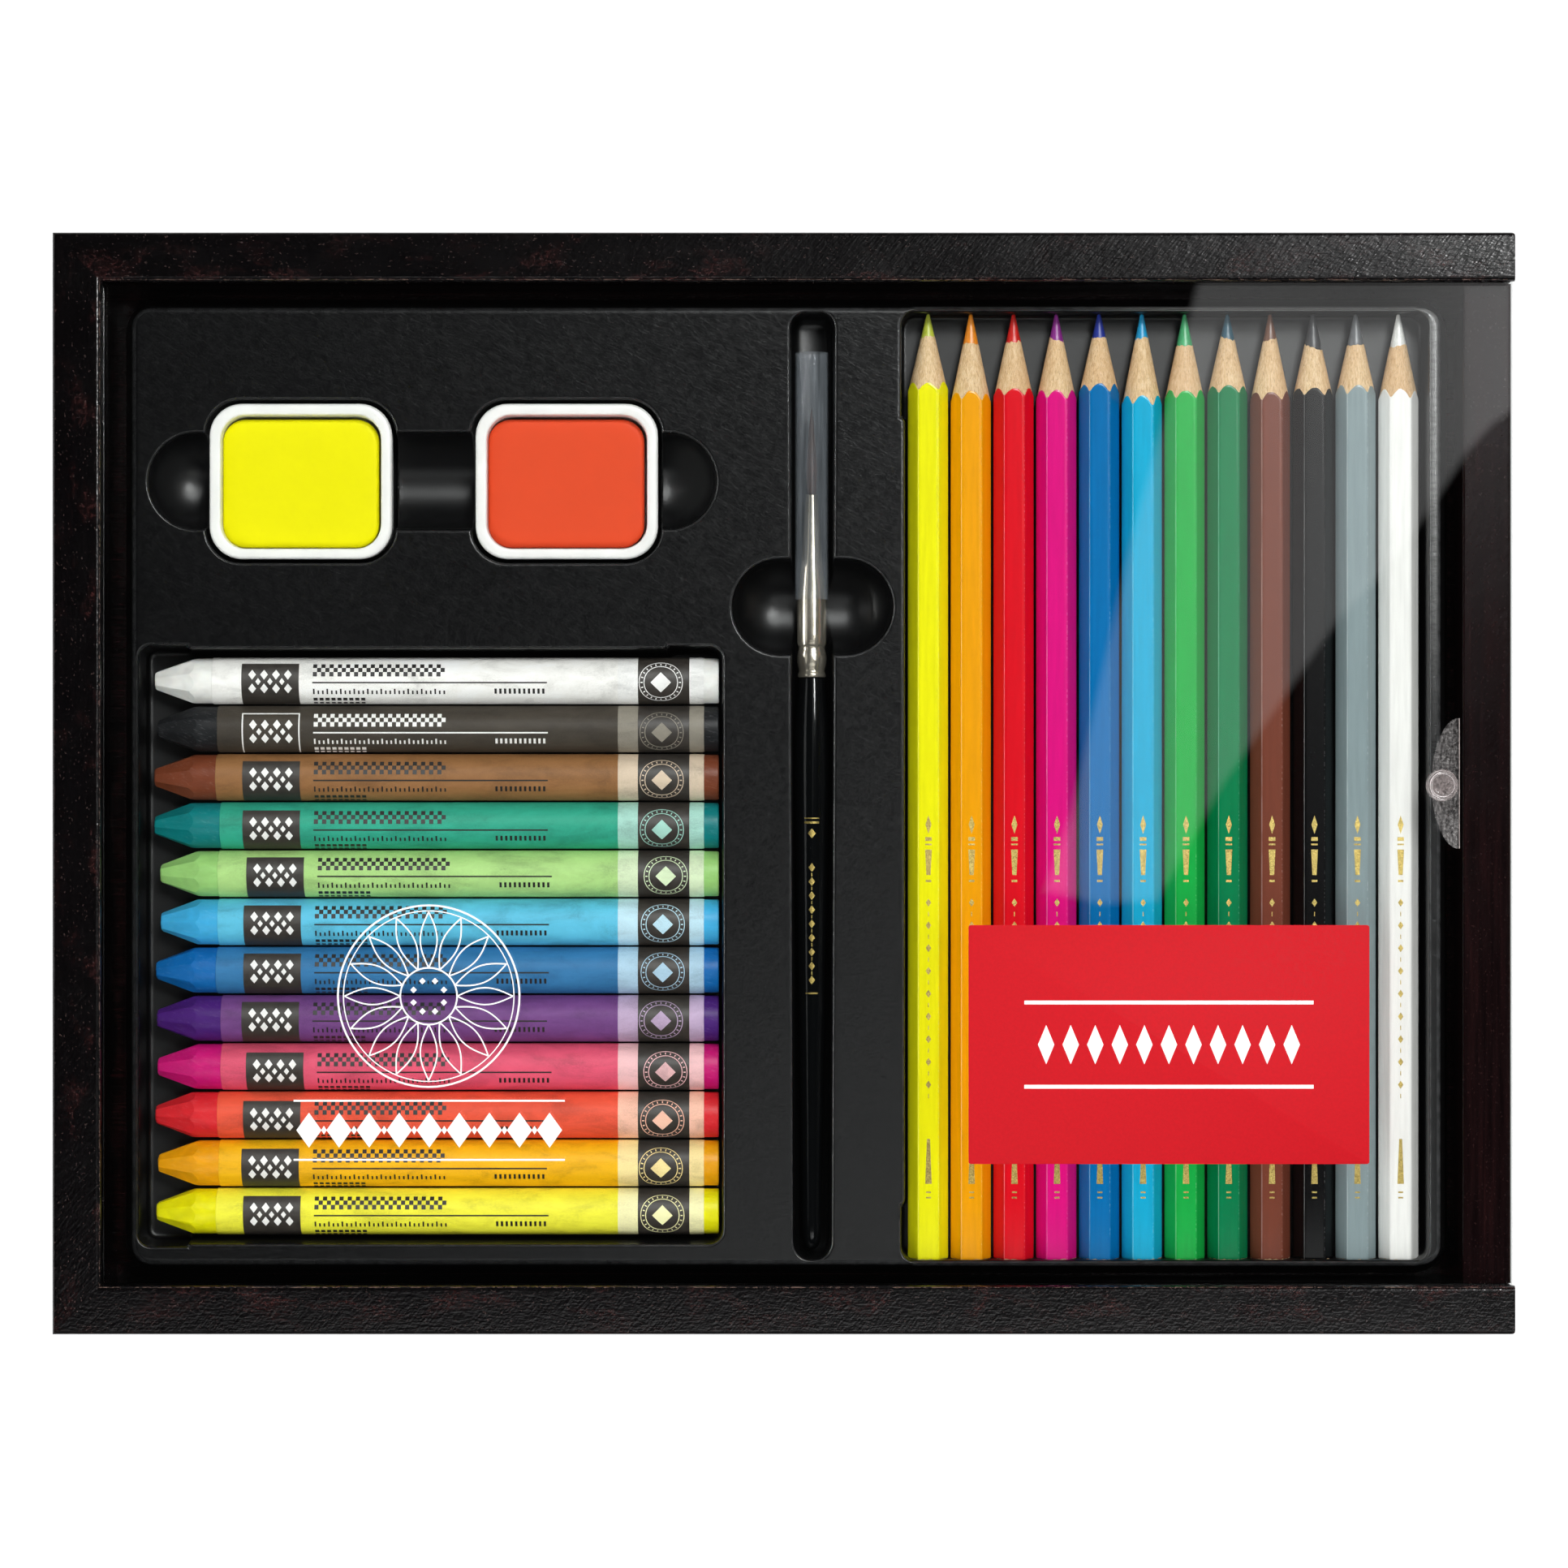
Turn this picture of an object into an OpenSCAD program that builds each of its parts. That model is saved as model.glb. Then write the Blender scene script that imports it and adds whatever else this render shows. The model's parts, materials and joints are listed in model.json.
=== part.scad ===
// Shallow wooden box with a clear sliding lid, and a black formed tray that
// holds colour pencils, wax pastels, a brush and two pans of paint.
// X runs along the box and is the way the lid opens, Y across, Z up.
// The origin is the middle of the underside. Millimetres.

/* [Box] */
// Outer length of the box
box_l = 267; // [267:1:290]
// Outer width of the box
box_w = 201.2; // [201.2:0.2:220]
// Outer height of the box
box_h = 26; // [26:0.5:32]
// Thickness of the wooden sides
wall_t = 8.9; // [8:0.1:8.9]
// Height of the lower end bar, which is also the lower face of the lid groove
bar_h = 21; // [21:0.5:24]
// Height of the lid groove
groove_h = 3.15; // [3.1:0.05:3.4]
// Depth of the lid groove
groove_d = 3.5; // [3:0.1:4.5]
// Thickness of the base panel
base_t = 3; // [2:0.5:3]

/* [Lid] */
// Thickness of the clear lid
lid_t = 2.95; // [2.5:0.05:3]
// Gap between the lid and the bottom of each groove
lid_gap = 0.3; // [0.2:0.05:0.6]
// Width of the thumb nick
nick_w = 5.0; // [4:0.1:5.4]
// Length of the thumb nick
nick_l = 23.9; // [20:0.1:26]
// Diameter of the clear stud
stud_d = 5.9; // [5:0.1:6.4]

/* [Tray] */
// Height of the tray's top face
land_z = 17.5; // [17.5:0.1:18.5]
// Thickness of the formed sheet
sheet_t = 0.8; // [0.6:0.1:1]
// Height of the pencil compartment's floor
pencil_floor = 9; // [8:0.1:9.5]
// Height of the pastel compartment's floor
pastel_floor = 7.4; // [6.5:0.1:7.5]
// Height of the pan compartments' floor
pan_floor = 6.5; // [5.5:0.1:6.5]

/* [Pencils] */
// Width of a pencil across its corners
pencil_ac = 7.56; // [7:0.02:7.7]
// Distance from one pencil to the next
pencil_pitch = 7.92; // [7.8:0.01:7.94]
// Diameter of the lead
lead_d = 2.9; // [2:0.1:3.3]

/* [Pastels] */
// Diameter of a wrapped pastel
pastel_d = 8.64; // [8:0.02:8.8]
// Distance from one pastel to the next
pastel_pitch = 8.93; // [8.85:0.01:8.94]

/* [Hidden] */

$fn = 64;
hx = box_l / 2;            // half length
hy = box_w / 2;            // half width
ix = hx - wall_t;          // inner half length
iy = hy - wall_t;          // inner half width
e = 1;                     // cutters run this far past a face
wood = "#2b1a1a";

base_z = 1;                // underside of the base panel
base_d = 3;                // depth of the base groove
lid_z = bar_h + 0.05;      // underside of the lid

// The tray sits loose, pushed 0.5 mm towards +X and -Y
land_x0 = -120.1; land_x1 = 121.1;
land_y0 = -88.7;  land_y1 = 87.7;
skirt_out = 2.8;           // how far the skirt spreads at its foot
land_r = 3.7;
floor_z = base_z + base_t; // inner floor of the box

// Pans: [low x, high x] of the cups, and their low and high y
pan_y0 = 41.3; pan_y1 = 70;
pan_yellow_x = [-105.8, -72.1];
pan_orange_x = [-56.8, -23.1];
pan_top = 17.9;
pan_gap = 0.7;

// Finger troughs: the middle line of each, and the radius
trough_y = 55.7; trough_x0 = -117.1; trough_x1 = -12.3; trough_r = 9;
scoop_y = 32.55; scoop_x0 = -9.5; scoop_x1 = 20.2; scoop_r = 8.9;

// Brush
brush_x = 5.2; brush_z = 12.8;
slot_floor = 9.5;
slot_y0 = -87.9; slot_y1 = 86.9;
slot_w0 = 7.0; slot_w1 = 8.2;
ferrule_y0 = 19.7; ferrule_y1 = 53.4;
sleeve_y0 = 34.05; sleeve_y1 = 79.7;
sleeve_r = 3.05; sleeve_bore_r = 2.78;

// Pencils
pencil_x0 = 26.74;         // axis of the first pencil
pencil_y0 = -88.05;        // flat rear end
pencil_y1 = 86.9;          // point of the lead
pencil_af = pencil_ac * cos(30);
pencil_z = pencil_floor + pencil_af / 2;
cone_k = 0.225;            // how fast the sharpened cone widens
point_r = 0.3;

// Pastels
pastel_y1 = 19.0;          // axis of the first pastel
pastel_z = pastel_floor + pastel_d / 2;
wax_r = pastel_d / 2 - 0.14;
// Where each stick's tip is, and where its wrapper starts
tip_x = [-116.4, -115.9, -116.5, -116.5, -115.4, -115.3, -116.2, -116.0, -115.9, -116.3, -115.8, -116.1];
wrap_x = [-105.6, -104.6, -104.9, -104.1, -104.5, -104.5, -104.8, -103.9, -103.9, -104.6, -104.3, -104.8];
wax_end_x = -11.95;        // blunt end of the sticks
wrap_end_x = -14.7;        // blunt end of the wrappers

// Box with upright sides and rounded corners
module rbox(x0, x1, y0, y1, z0, z1, r) {
    translate([x0 + r, y0, z0]) cube([x1 - x0 - 2 * r, y1 - y0, z1 - z0]);
    translate([x0, y0 + r, z0]) cube([x1 - x0, y1 - y0 - 2 * r, z1 - z0]);
    for (x = [x0 + r, x1 - r], y = [y0 + r, y1 - r])
        translate([x, y, z0]) cylinder(r = r, h = z1 - z0);
}

// Box with rounded corners whose sides lean: its outline at z1 is x0..x1 and
// y0..y1, and at z0 each side stands in by t (out, when t is negative)
module dbox(x0, x1, y0, y1, z0, z1, r, t) {
    for (x = [x0 + r, x1 - r], y = [y0 + r, y1 - r])
        translate([x, y, z0]) cylinder(r1 = r - t, r2 = r, h = z1 - z0);
    translate([x0 + r, 0, 0]) rotate([90, 0, 90]) linear_extrude(x1 - x0 - 2 * r)
        polygon([[y0 + t, z0], [y1 - t, z0], [y1, z1], [y0, z1]]);
    translate([0, y1 - r, 0]) rotate([90, 0, 0]) linear_extrude(y1 - y0 - 2 * r)
        polygon([[x0 + t, z0], [x1 - t, z0], [x1, z1], [x0, z1]]);
}

// Region of the left mitres: +1 is the back rail, -1 the front rail
module mitre_side(s) {
    linear_extrude(box_h + 2 * e, center = false)
        polygon([[-hx - e, s * (hy + e)], [-hx + hy, 0], [hx + e, 0], [hx + e, s * (hy + e)]]);
}
module mitre_end() {
    linear_extrude(box_h + 2 * e)
        polygon([[-hx - e, hy + e], [-hx + hy, 0], [-hx - e, -hy - e]]);
}

module rail(s) {
    intersection() {
        difference() {
            translate([-hx, s > 0 ? iy : -hy, 0]) cube([box_l, wall_t, box_h]);
            // lid groove, open at the right end
            translate([-ix - groove_d, s > 0 ? iy - e : -iy - groove_d, bar_h])
                cube([ix + groove_d + hx + e, groove_d + e, groove_h]);
            // base groove, stopped at both ends
            translate([-ix - base_d, s > 0 ? iy - e : -iy - base_d, base_z])
                cube([2 * (ix + base_d), base_d + e, base_t]);
        }
        translate([0, 0, -e]) mitre_side(s);
    }
}
module rail_back() { color(wood) rail(1); }
module rail_front() { color(wood) rail(-1); }

module end_left() {
    color(wood) intersection() {
        difference() {
            translate([-hx, -hy, 0]) cube([wall_t, box_w, box_h]);
            translate([-ix - groove_d, -iy - groove_d, bar_h])
                cube([groove_d + e, 2 * (iy + groove_d), groove_h]);
            translate([-ix - base_d, -iy - base_d, base_z])
                cube([base_d + e, 2 * (iy + base_d), base_t]);
        }
        translate([0, 0, -e]) mitre_end();
    }
}

module end_right() {
    color(wood) difference() {
        translate([ix, -iy, 0]) cube([wall_t, 2 * iy, bar_h]);
        translate([ix - e, -iy - e, base_z]) cube([base_d + e, 2 * iy + 2 * e, base_t]);
    }
}

module base_panel() {
    g = 0.2;
    color("#4a1c1c") translate([-ix - base_d + g, -iy - base_d + g, base_z])
        cube([2 * (ix + base_d - g), 2 * (iy + base_d - g), base_t]);
}

// Lid: its left edge and both long edges lie in the grooves
lid_x0 = -ix - groove_d + lid_gap;
lid_x1 = hx - 0.2;
lid_y = iy + groove_d - lid_gap;
nick_x1 = ix - 1.05;       // upright wall of the nick
nick_ball = 53.5;          // radius of the ball that forms the nick's floor
nick_reach = 17.4;         // radius of that ball where it crosses the lid's face
nick_step = 0.4;           // how far the floor lies below the face at the rim
stud_x = 120.35; stud_y = -0.35;
stud_pin_r = 1.6;
stud_pin_h = 1.9;

// The nick is a half ellipse in plan, deepest at its upright wall
module nick() {
    c = nick_x1 - 4.9 + nick_reach;
    intersection() {
        translate([c, 0, lid_z + lid_t - nick_step + sqrt(nick_ball * nick_ball - nick_reach * nick_reach)])
            sphere(r = nick_ball, $fn = 96);
        translate([nick_x1, 0, lid_z + lid_t - 2]) linear_extrude(4)
            polygon([for (i = [0:40]) [-nick_w * sin(i * 4.5), nick_l / 2 * cos(i * 4.5)]]);
    }
}
module lid_panel() {
    color([0.85, 0.9, 0.95, 0.3]) difference() {
        translate([lid_x0, -lid_y, lid_z]) cube([lid_x1 - lid_x0, 2 * lid_y, lid_t]);
        nick();
        translate([stud_x, stud_y, lid_z + lid_t - stud_pin_h]) cylinder(r = stud_pin_r + 0.02, h = stud_pin_h + e);
    }
}
module lid_stud() {
    color([0.9, 0.9, 0.9, 0.5]) translate([stud_x, stud_y, lid_z + lid_t]) {
        cylinder(r1 = stud_d / 2, r2 = stud_d / 2 - 0.4, h = 1.8);
        translate([0, 0, -stud_pin_h]) cylinder(r = stud_pin_r, h = stud_pin_h + 0.5);
    }
}
module lid_label() {
    color("#de2730") translate([33.8, -69.6, lid_z + lid_t]) cube([73.3, 43.7, 0.15]);
}

// Tray
module stadium_ball(x0, x1, y, r) {
    translate([x0 + r, y, land_z]) sphere(r = r);
    translate([x1 - r, y, land_z]) sphere(r = r);
    translate([x0 + r, y, land_z]) rotate([0, 90, 0]) cylinder(r = r, h = x1 - x0 - 2 * r);
}
module brush_slot(g, z0, z1) {
    a = slot_w0 / 2 + g; b = slot_w1 / 2 + g; r = 3 + g;
    translate([brush_x + 0.1, 0, z0]) linear_extrude(z1 - z0) {
        polygon([[-a, slot_y0 + slot_w0 / 2], [a, slot_y0 + slot_w0 / 2], [b, slot_y1 - 3], [-b, slot_y1 - 3]]);
        translate([0, slot_y0 + slot_w0 / 2]) circle(r = a);
        for (s = [-1, 1]) translate([s * (b - r), slot_y1 - 3]) circle(r = r);
        translate([-(b - r), slot_y1 - 3]) square([2 * (b - r), r]);
    }
}
// Every compartment, grown by g all round and down
module compartments(g, top) {
    // pencils
    rbox(22.0 - g, 118.9 + g, -88.3 - g, 87.3 + g, pencil_floor - g, top, 3 + g);
    // pastels
    k = 0.05;
    dbox(-119.05 - g, -11.15 + g, -84.85 - g, 24.9 + g, pastel_floor - g, top, 2.6 + g, k * (top - pastel_floor + g));
    // pans
    for (p = [pan_yellow_x, pan_orange_x])
        rbox(p[0] - pan_gap - g, p[1] + pan_gap + g, pan_y0 - pan_gap - g, pan_y1 + pan_gap + g,
             pan_floor - g, top, 6.6 + g);
    brush_slot(g, slot_floor - g, top);
}
module troughs(g) {
    stadium_ball(trough_x0 - g, trough_x1 + g, trough_y, trough_r + g);
    stadium_ball(scoop_x0 - g, scoop_x1 + g, scoop_y, scoop_r + g);
}
module tray_outside() {
    dbox(land_x0, land_x1, land_y0, land_y1, floor_z, land_z, land_r, -skirt_out);
}
module tray() {
    t = sheet_t;
    color("#1d1e21") difference() {
        intersection() {
            tray_outside();
            union() {
                difference() {
                    tray_outside();
                    dbox(land_x0 + t, land_x1 - t, land_y0 + t, land_y1 - t, floor_z - e, land_z - t, land_r - t,
                         -skirt_out * (land_z - t - floor_z + e) / (land_z - floor_z));
                }
                compartments(t, land_z - t / 2);
                intersection() {
                    troughs(t);
                    translate([-125, -90, floor_z + e]) cube([250, 180, land_z - t / 2 - floor_z - e]);
                }
            }
        }
        compartments(0, land_z + e);
        troughs(0);
    }
}

// Pans of paint
module pan_cup(x) {
    color("#f4f4f2") difference() {
        rbox(x[0], x[1], pan_y0, pan_y1, pan_floor, pan_top, 6);
        rbox(x[0] + 2.15, x[1] - 2.05, pan_y0 + 1.95, pan_y1 - 2.15, pan_floor + 1.5, pan_top + e, 4.6);
    }
}
module paint(x) {
    rbox(x[0] + 2.25, x[1] - 2.55, pan_y0 + 2.05, pan_y1 - 2.75, pan_floor + 1.5, pan_top - 2.2, 4.3);
}
module pan_cup_yellow() { pan_cup(pan_yellow_x); }
module pan_cup_orange() { pan_cup(pan_orange_x); }
module paint_yellow() { color("#f5f206") paint(pan_yellow_x); }
module paint_orange() { color("#ee4a1e") paint(pan_orange_x); }

// Brush: profiles are [radius, distance along the brush], +Y towards the hair
module on_brush() { translate([brush_x, 0, brush_z]) rotate([-90, 0, 0]) children(); }
module brush_handle() {
    color("#101216") on_brush() rotate_extrude()
        polygon([[0, -86.2], [0.9, -86.0], [1.5, -85.2], [1.75, -84], [1.85, -76], [2.1, -60], [2.5, -38],
                 [2.95, -15], [3.2, 2], [3.1, 10], [2.75, 16], [2.45, 19.4], [2.2, 19.6], [2.2, 32], [0, 32]]);
}
module brush_ferrule() {
    color("#c9c6bf") on_brush() rotate_extrude()
        polygon([[2.24, 19.7], [2.62, 19.7], [2.62, 20.4], [2.4, 20.8], [2.62, 21.6], [2.7, 22.8], [2.62, 24.2],
                 [2.4, 25.2], [2.68, 25.8], [2.68, 33], [1.1, 53.4], [0.86, 53.4], [2.24, 33.2]]);
}
module brush_hair() {
    color("#5a3326") on_brush() rotate_extrude()
        polygon([[0, 44], [0.8, 44], [0.8, 53.6], [1.15, 56], [1.2, 58], [0.95, 62], [0.5, 66.5], [0, 69.7]]);
}
module brush_sleeve() {
    color([0.75, 0.85, 0.95, 0.4]) on_brush() difference() {
        translate([0, 0, sleeve_y0]) cylinder(r = sleeve_r, h = sleeve_y1 - sleeve_y0);
        translate([0, 0, sleeve_y0 - e]) cylinder(r = sleeve_bore_r, h = sleeve_y1 - sleeve_y0 + 2 * e);
    }
}

// Pencils: cut by a cone at the point, flat at the rear
module point_cone(r_end) {
    // from the blunt tip back to a radius of r_end, then straight
    d = (r_end - point_r) / cone_k;
    rotate_extrude() polygon([[0, pencil_y0 - e], [r_end, pencil_y0 - e], [r_end, pencil_y1 - d],
                              [point_r, pencil_y1], [0, pencil_y1]]);
}
module on_pencil(i) {
    translate([pencil_x0 + i * pencil_pitch, 0, pencil_z]) rotate([-90, 0, 0]) children();
}
module pencil(i, c) {
    color(c) on_pencil(i) difference() {
        intersection() {
            translate([0, 0, pencil_y0]) cylinder(d = pencil_ac, h = pencil_y1 - pencil_y0, $fn = 6);
            point_cone(pencil_ac / 2 + 0.3);
        }
        translate([0, 0, pencil_y0 - e]) cylinder(d = lead_d + 0.04, h = pencil_y1 - pencil_y0 + 2 * e);
    }
}
module pencil_yellow() { pencil(0, "#f0ee1c"); }
module pencil_orange() { pencil(1, "#f3a500"); }
module pencil_red() { pencil(2, "#df0a1e"); }
module pencil_magenta() { pencil(3, "#e10f82"); }
module pencil_blue() { pencil(4, "#006eb4"); }
module pencil_sky() { pencil(5, "#00afdc"); }
module pencil_green() { pencil(6, "#46be5f"); }
module pencil_dark_green() { pencil(7, "#1e9b5f"); }
module pencil_brown() { pencil(8, "#783c2d"); }
module pencil_black() { pencil(9, "#141416"); }
module pencil_grey() { pencil(10, "#96aaac"); }
module pencil_white() { pencil(11, "#f5f5f0"); }
module pencil_leads() {
    color("#5a5a64") for (i = [0:11]) on_pencil(i) intersection() {
        translate([0, 0, pencil_y0]) cylinder(d = lead_d, h = pencil_y1 - pencil_y0);
        point_cone(pencil_ac / 2 + 0.3);
    }
}

// Pastels: a blunt cone, then a round stick in a paper wrapper
module on_pastel(i) {
    translate([0, pastel_y1 - i * pastel_pitch, pastel_z]) rotate([0, 90, 0]) children();
}
module pastel(i, c) {
    color(c) on_pastel(i) rotate_extrude()
        polygon([[0, tip_x[i]], [1.6, tip_x[i]], [wax_r, tip_x[i] + 7.4], [wax_r, wax_end_x], [0, wax_end_x]]);
}
module wrap(i, c) {
    color(c) on_pastel(i) difference() {
        translate([0, 0, wrap_x[i]]) cylinder(r = pastel_d / 2, h = wrap_end_x - wrap_x[i]);
        translate([0, 0, wrap_x[i] - e]) cylinder(r = wax_r + 0.02, h = wrap_end_x - wrap_x[i] + 2 * e);
    }
}
module pastel_white() { pastel(0, "#f2f1ec"); }
module pastel_black() { pastel(1, "#1b1c1e"); }
module pastel_brown() { pastel(2, "#7c3a24"); }
module pastel_emerald() { pastel(3, "#0a8a84"); }
module pastel_lime() { pastel(4, "#9ddb77"); }
module pastel_sky() { pastel(5, "#3fb1e6"); }
module pastel_cobalt() { pastel(6, "#1268b4"); }
module pastel_violet() { pastel(7, "#4b157c"); }
module pastel_magenta() { pastel(8, "#cf0a78"); }
module pastel_red() { pastel(9, "#d8262c"); }
module pastel_orange() { pastel(10, "#f08a1c"); }
module pastel_yellow() { pastel(11, "#f3e21a"); }
module wrap_white() { wrap(0, "#eeece6"); }
module wrap_black() { wrap(1, "#3a3632"); }
module wrap_brown() { wrap(2, "#9a6236"); }
module wrap_emerald() { wrap(3, "#16a987"); }
module wrap_lime() { wrap(4, "#a2da6c"); }
module wrap_sky() { wrap(5, "#56bfe4"); }
module wrap_cobalt() { wrap(6, "#2c6690"); }
module wrap_violet() { wrap(7, "#6c3384"); }
module wrap_magenta() { wrap(8, "#e03a64"); }
module wrap_red() { wrap(9, "#e2483a"); }
module wrap_orange() { wrap(10, "#f09a2c"); }
module wrap_yellow() { wrap(11, "#f0e02a"); }

rail_back();
rail_front();
end_left();
end_right();
base_panel();
lid_panel();
lid_stud();
lid_label();
tray();
pan_cup_yellow();
pan_cup_orange();
paint_yellow();
paint_orange();
brush_handle();
brush_ferrule();
brush_hair();
brush_sleeve();
pencil_yellow();
pencil_orange();
pencil_red();
pencil_magenta();
pencil_blue();
pencil_sky();
pencil_green();
pencil_dark_green();
pencil_brown();
pencil_black();
pencil_grey();
pencil_white();
pencil_leads();
pastel_white();
pastel_black();
pastel_brown();
pastel_emerald();
pastel_lime();
pastel_sky();
pastel_cobalt();
pastel_violet();
pastel_magenta();
pastel_red();
pastel_orange();
pastel_yellow();
wrap_white();
wrap_black();
wrap_brown();
wrap_emerald();
wrap_lime();
wrap_sky();
wrap_cobalt();
wrap_violet();
wrap_magenta();
wrap_red();
wrap_orange();
wrap_yellow();
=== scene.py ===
import json
import math
import random

import bpy
import bmesh
import numpy as np
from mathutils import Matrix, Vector, geometry, noise

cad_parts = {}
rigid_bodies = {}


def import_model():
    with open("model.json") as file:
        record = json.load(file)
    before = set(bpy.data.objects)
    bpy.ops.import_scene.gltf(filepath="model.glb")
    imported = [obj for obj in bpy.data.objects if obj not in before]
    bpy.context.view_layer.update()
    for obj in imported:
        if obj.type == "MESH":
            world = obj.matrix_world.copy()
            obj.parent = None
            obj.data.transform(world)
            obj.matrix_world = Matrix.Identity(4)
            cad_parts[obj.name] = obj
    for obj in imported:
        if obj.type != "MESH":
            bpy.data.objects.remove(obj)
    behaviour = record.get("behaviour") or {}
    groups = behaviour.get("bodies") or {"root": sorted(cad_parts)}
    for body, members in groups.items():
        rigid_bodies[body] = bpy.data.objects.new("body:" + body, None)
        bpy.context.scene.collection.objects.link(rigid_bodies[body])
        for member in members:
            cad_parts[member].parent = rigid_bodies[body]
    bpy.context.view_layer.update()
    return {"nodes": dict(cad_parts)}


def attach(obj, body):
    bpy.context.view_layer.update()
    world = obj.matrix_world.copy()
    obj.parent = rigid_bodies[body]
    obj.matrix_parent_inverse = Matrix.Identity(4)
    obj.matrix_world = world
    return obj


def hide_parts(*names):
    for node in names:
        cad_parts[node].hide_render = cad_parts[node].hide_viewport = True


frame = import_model()
scene = bpy.context.scene
MM = 0.001
R = random.Random(7)

# ---------------------------------------------------------------- camera
cam_data = bpy.data.cameras.new("camera")
cam = bpy.data.objects.new("camera", cam_data)
scene.collection.objects.link(cam)
cam_data.sensor_width = 36.0
cam_data.lens = 113.25
cam_data.clip_start = 0.02
cam_data.clip_end = 50.0
cam.location = (0.00007, -0.0001, 0.926)
cam.rotation_euler = (0.0, 0.0, 0.0)
scene.camera = cam

scene.view_settings.view_transform = "Standard"
scene.view_settings.look = "None"
scene.view_settings.exposure = 0.0
scene.view_settings.gamma = 1.0
scene.cycles.use_denoising = True
scene.cycles.transparent_max_bounces = 24
scene.cycles.sample_clamp_indirect = 6.0
scene.cycles.max_bounces = 8
scene.cycles.diffuse_bounces = 3
scene.cycles.glossy_bounces = 3


# ---------------------------------------------------------------- node helpers
def lin(c):
    """sRGB 0-255 to a linear colour."""
    out = []
    for v in c:
        v = v / 255.0
        out.append(v / 12.92 if v <= 0.04045 else ((v + 0.055) / 1.055) ** 2.4)
    return (*out, 1.0)


class Mat:
    def __init__(self, name, **principled):
        self.m = bpy.data.materials.new(name)
        self.m.use_nodes = True
        self.nt = self.m.node_tree
        self.nt.nodes.clear()
        self.out = self.nt.nodes.new("ShaderNodeOutputMaterial")
        self.p = self.nt.nodes.new("ShaderNodeBsdfPrincipled")
        self.nt.links.new(self.p.outputs[0], self.out.inputs["Surface"])
        for k, v in principled.items():
            self.p.inputs[k.replace("_", " ")].default_value = v
        self._co = None

    def node(self, kind, **props):
        n = self.nt.nodes.new("ShaderNode" + kind)
        for k, v in props.items():
            setattr(n, k, v)
        return n

    def put(self, socket, v):
        if isinstance(v, bpy.types.NodeSocket):
            self.nt.links.new(v, socket)
        elif v is not None:
            socket.default_value = v

    def co(self, size=(1, 1, 1), rot=(0, 0, 0), shift=(0, 0, 0)):
        """Object coordinates: size is the length in mm that becomes 1 along each axis."""
        if self._co is None:
            self._co = self.node("TexCoord").outputs["Object"]
        m = self.node("Mapping")
        self.put(m.inputs["Vector"], self._co)
        m.inputs["Scale"].default_value = [1000.0 / s for s in size]
        m.inputs["Rotation"].default_value = rot
        m.inputs["Location"].default_value = shift
        return m.outputs[0]

    def turned(self, angle, size, shift=(0, 0, 0)):
        """Object coordinates turned about Z first, and then scaled."""
        a = self.co((1000, 1000, 1000), rot=(0, 0, angle))
        m = self.node("Mapping")
        self.put(m.inputs["Vector"], a)
        m.inputs["Scale"].default_value = [1000.0 / s for s in size]
        m.inputs["Location"].default_value = shift
        return m.outputs[0]

    def noise(self, vec, detail=3.0, rough=0.5, dist=0.0, scale=1.0):
        n = self.node("TexNoise")
        self.put(n.inputs["Vector"], vec)
        n.inputs["Scale"].default_value = scale
        n.inputs["Detail"].default_value = detail
        n.inputs["Roughness"].default_value = rough
        n.inputs["Distortion"].default_value = dist
        return n.outputs["Fac"]

    def voronoi(self, vec, feature="F1", scale=1.0, out="Distance", smooth=None, rand=1.0):
        n = self.node("TexVoronoi", feature=feature)
        self.put(n.inputs["Vector"], vec)
        n.inputs["Scale"].default_value = scale
        n.inputs["Randomness"].default_value = rand
        if smooth is not None:
            n.inputs["Smoothness"].default_value = smooth
        return n.outputs[out]

    def ramp(self, fac, *stops, mode="LINEAR"):
        n = self.node("ValToRGB")
        n.color_ramp.interpolation = mode
        e = n.color_ramp.elements
        while len(e) > len(stops):
            e.remove(e[-1])
        while len(e) < len(stops):
            e.new(0.5)
        for el, (pos, col) in zip(e, stops):
            el.position = pos
            el.color = col if not isinstance(col, (int, float)) else (col, col, col, 1.0)
        self.put(n.inputs[0], fac)
        return n.outputs[0]

    def mix(self, fac, a, b, mode="MIX"):
        n = self.node("Mix", data_type="RGBA", blend_type=mode)
        self.put(n.inputs[0], fac)
        self.put(n.inputs[6], a)
        self.put(n.inputs[7], b)
        return n.outputs[2]

    def math(self, op, a, b=None, c=None, clamp=False):
        n = self.node("Math", operation=op, use_clamp=clamp)
        self.put(n.inputs[0], a)
        self.put(n.inputs[1], b)
        self.put(n.inputs[2], c)
        return n.outputs[0]

    def span(self, v, a, b, c=0.0, d=1.0, smooth=True):
        n = self.node("MapRange", interpolation_type="SMOOTHSTEP" if smooth else "LINEAR")
        self.put(n.inputs["Value"], v)
        for k, x in zip(("From Min", "From Max", "To Min", "To Max"), (a, b, c, d)):
            n.inputs[k].default_value = x
        return n.outputs[0]

    def bump(self, height, dist_mm, strength=1.0, normal=None):
        n = self.node("Bump")
        n.inputs["Strength"].default_value = strength
        n.inputs["Distance"].default_value = dist_mm * MM
        self.put(n.inputs["Height"], height)
        if normal is not None:
            self.put(n.inputs["Normal"], normal)
        return n.outputs[0]

    def xyz(self):
        if self._co is None:
            self._co = self.node("TexCoord").outputs["Object"]
        s = self.node("SeparateXYZ")
        self.put(s.inputs[0], self._co)
        return s.outputs

    def set(self, **kw):
        for k, v in kw.items():
            self.put(self.p.inputs[k.replace("_", " ")], v)
        return self


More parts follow.
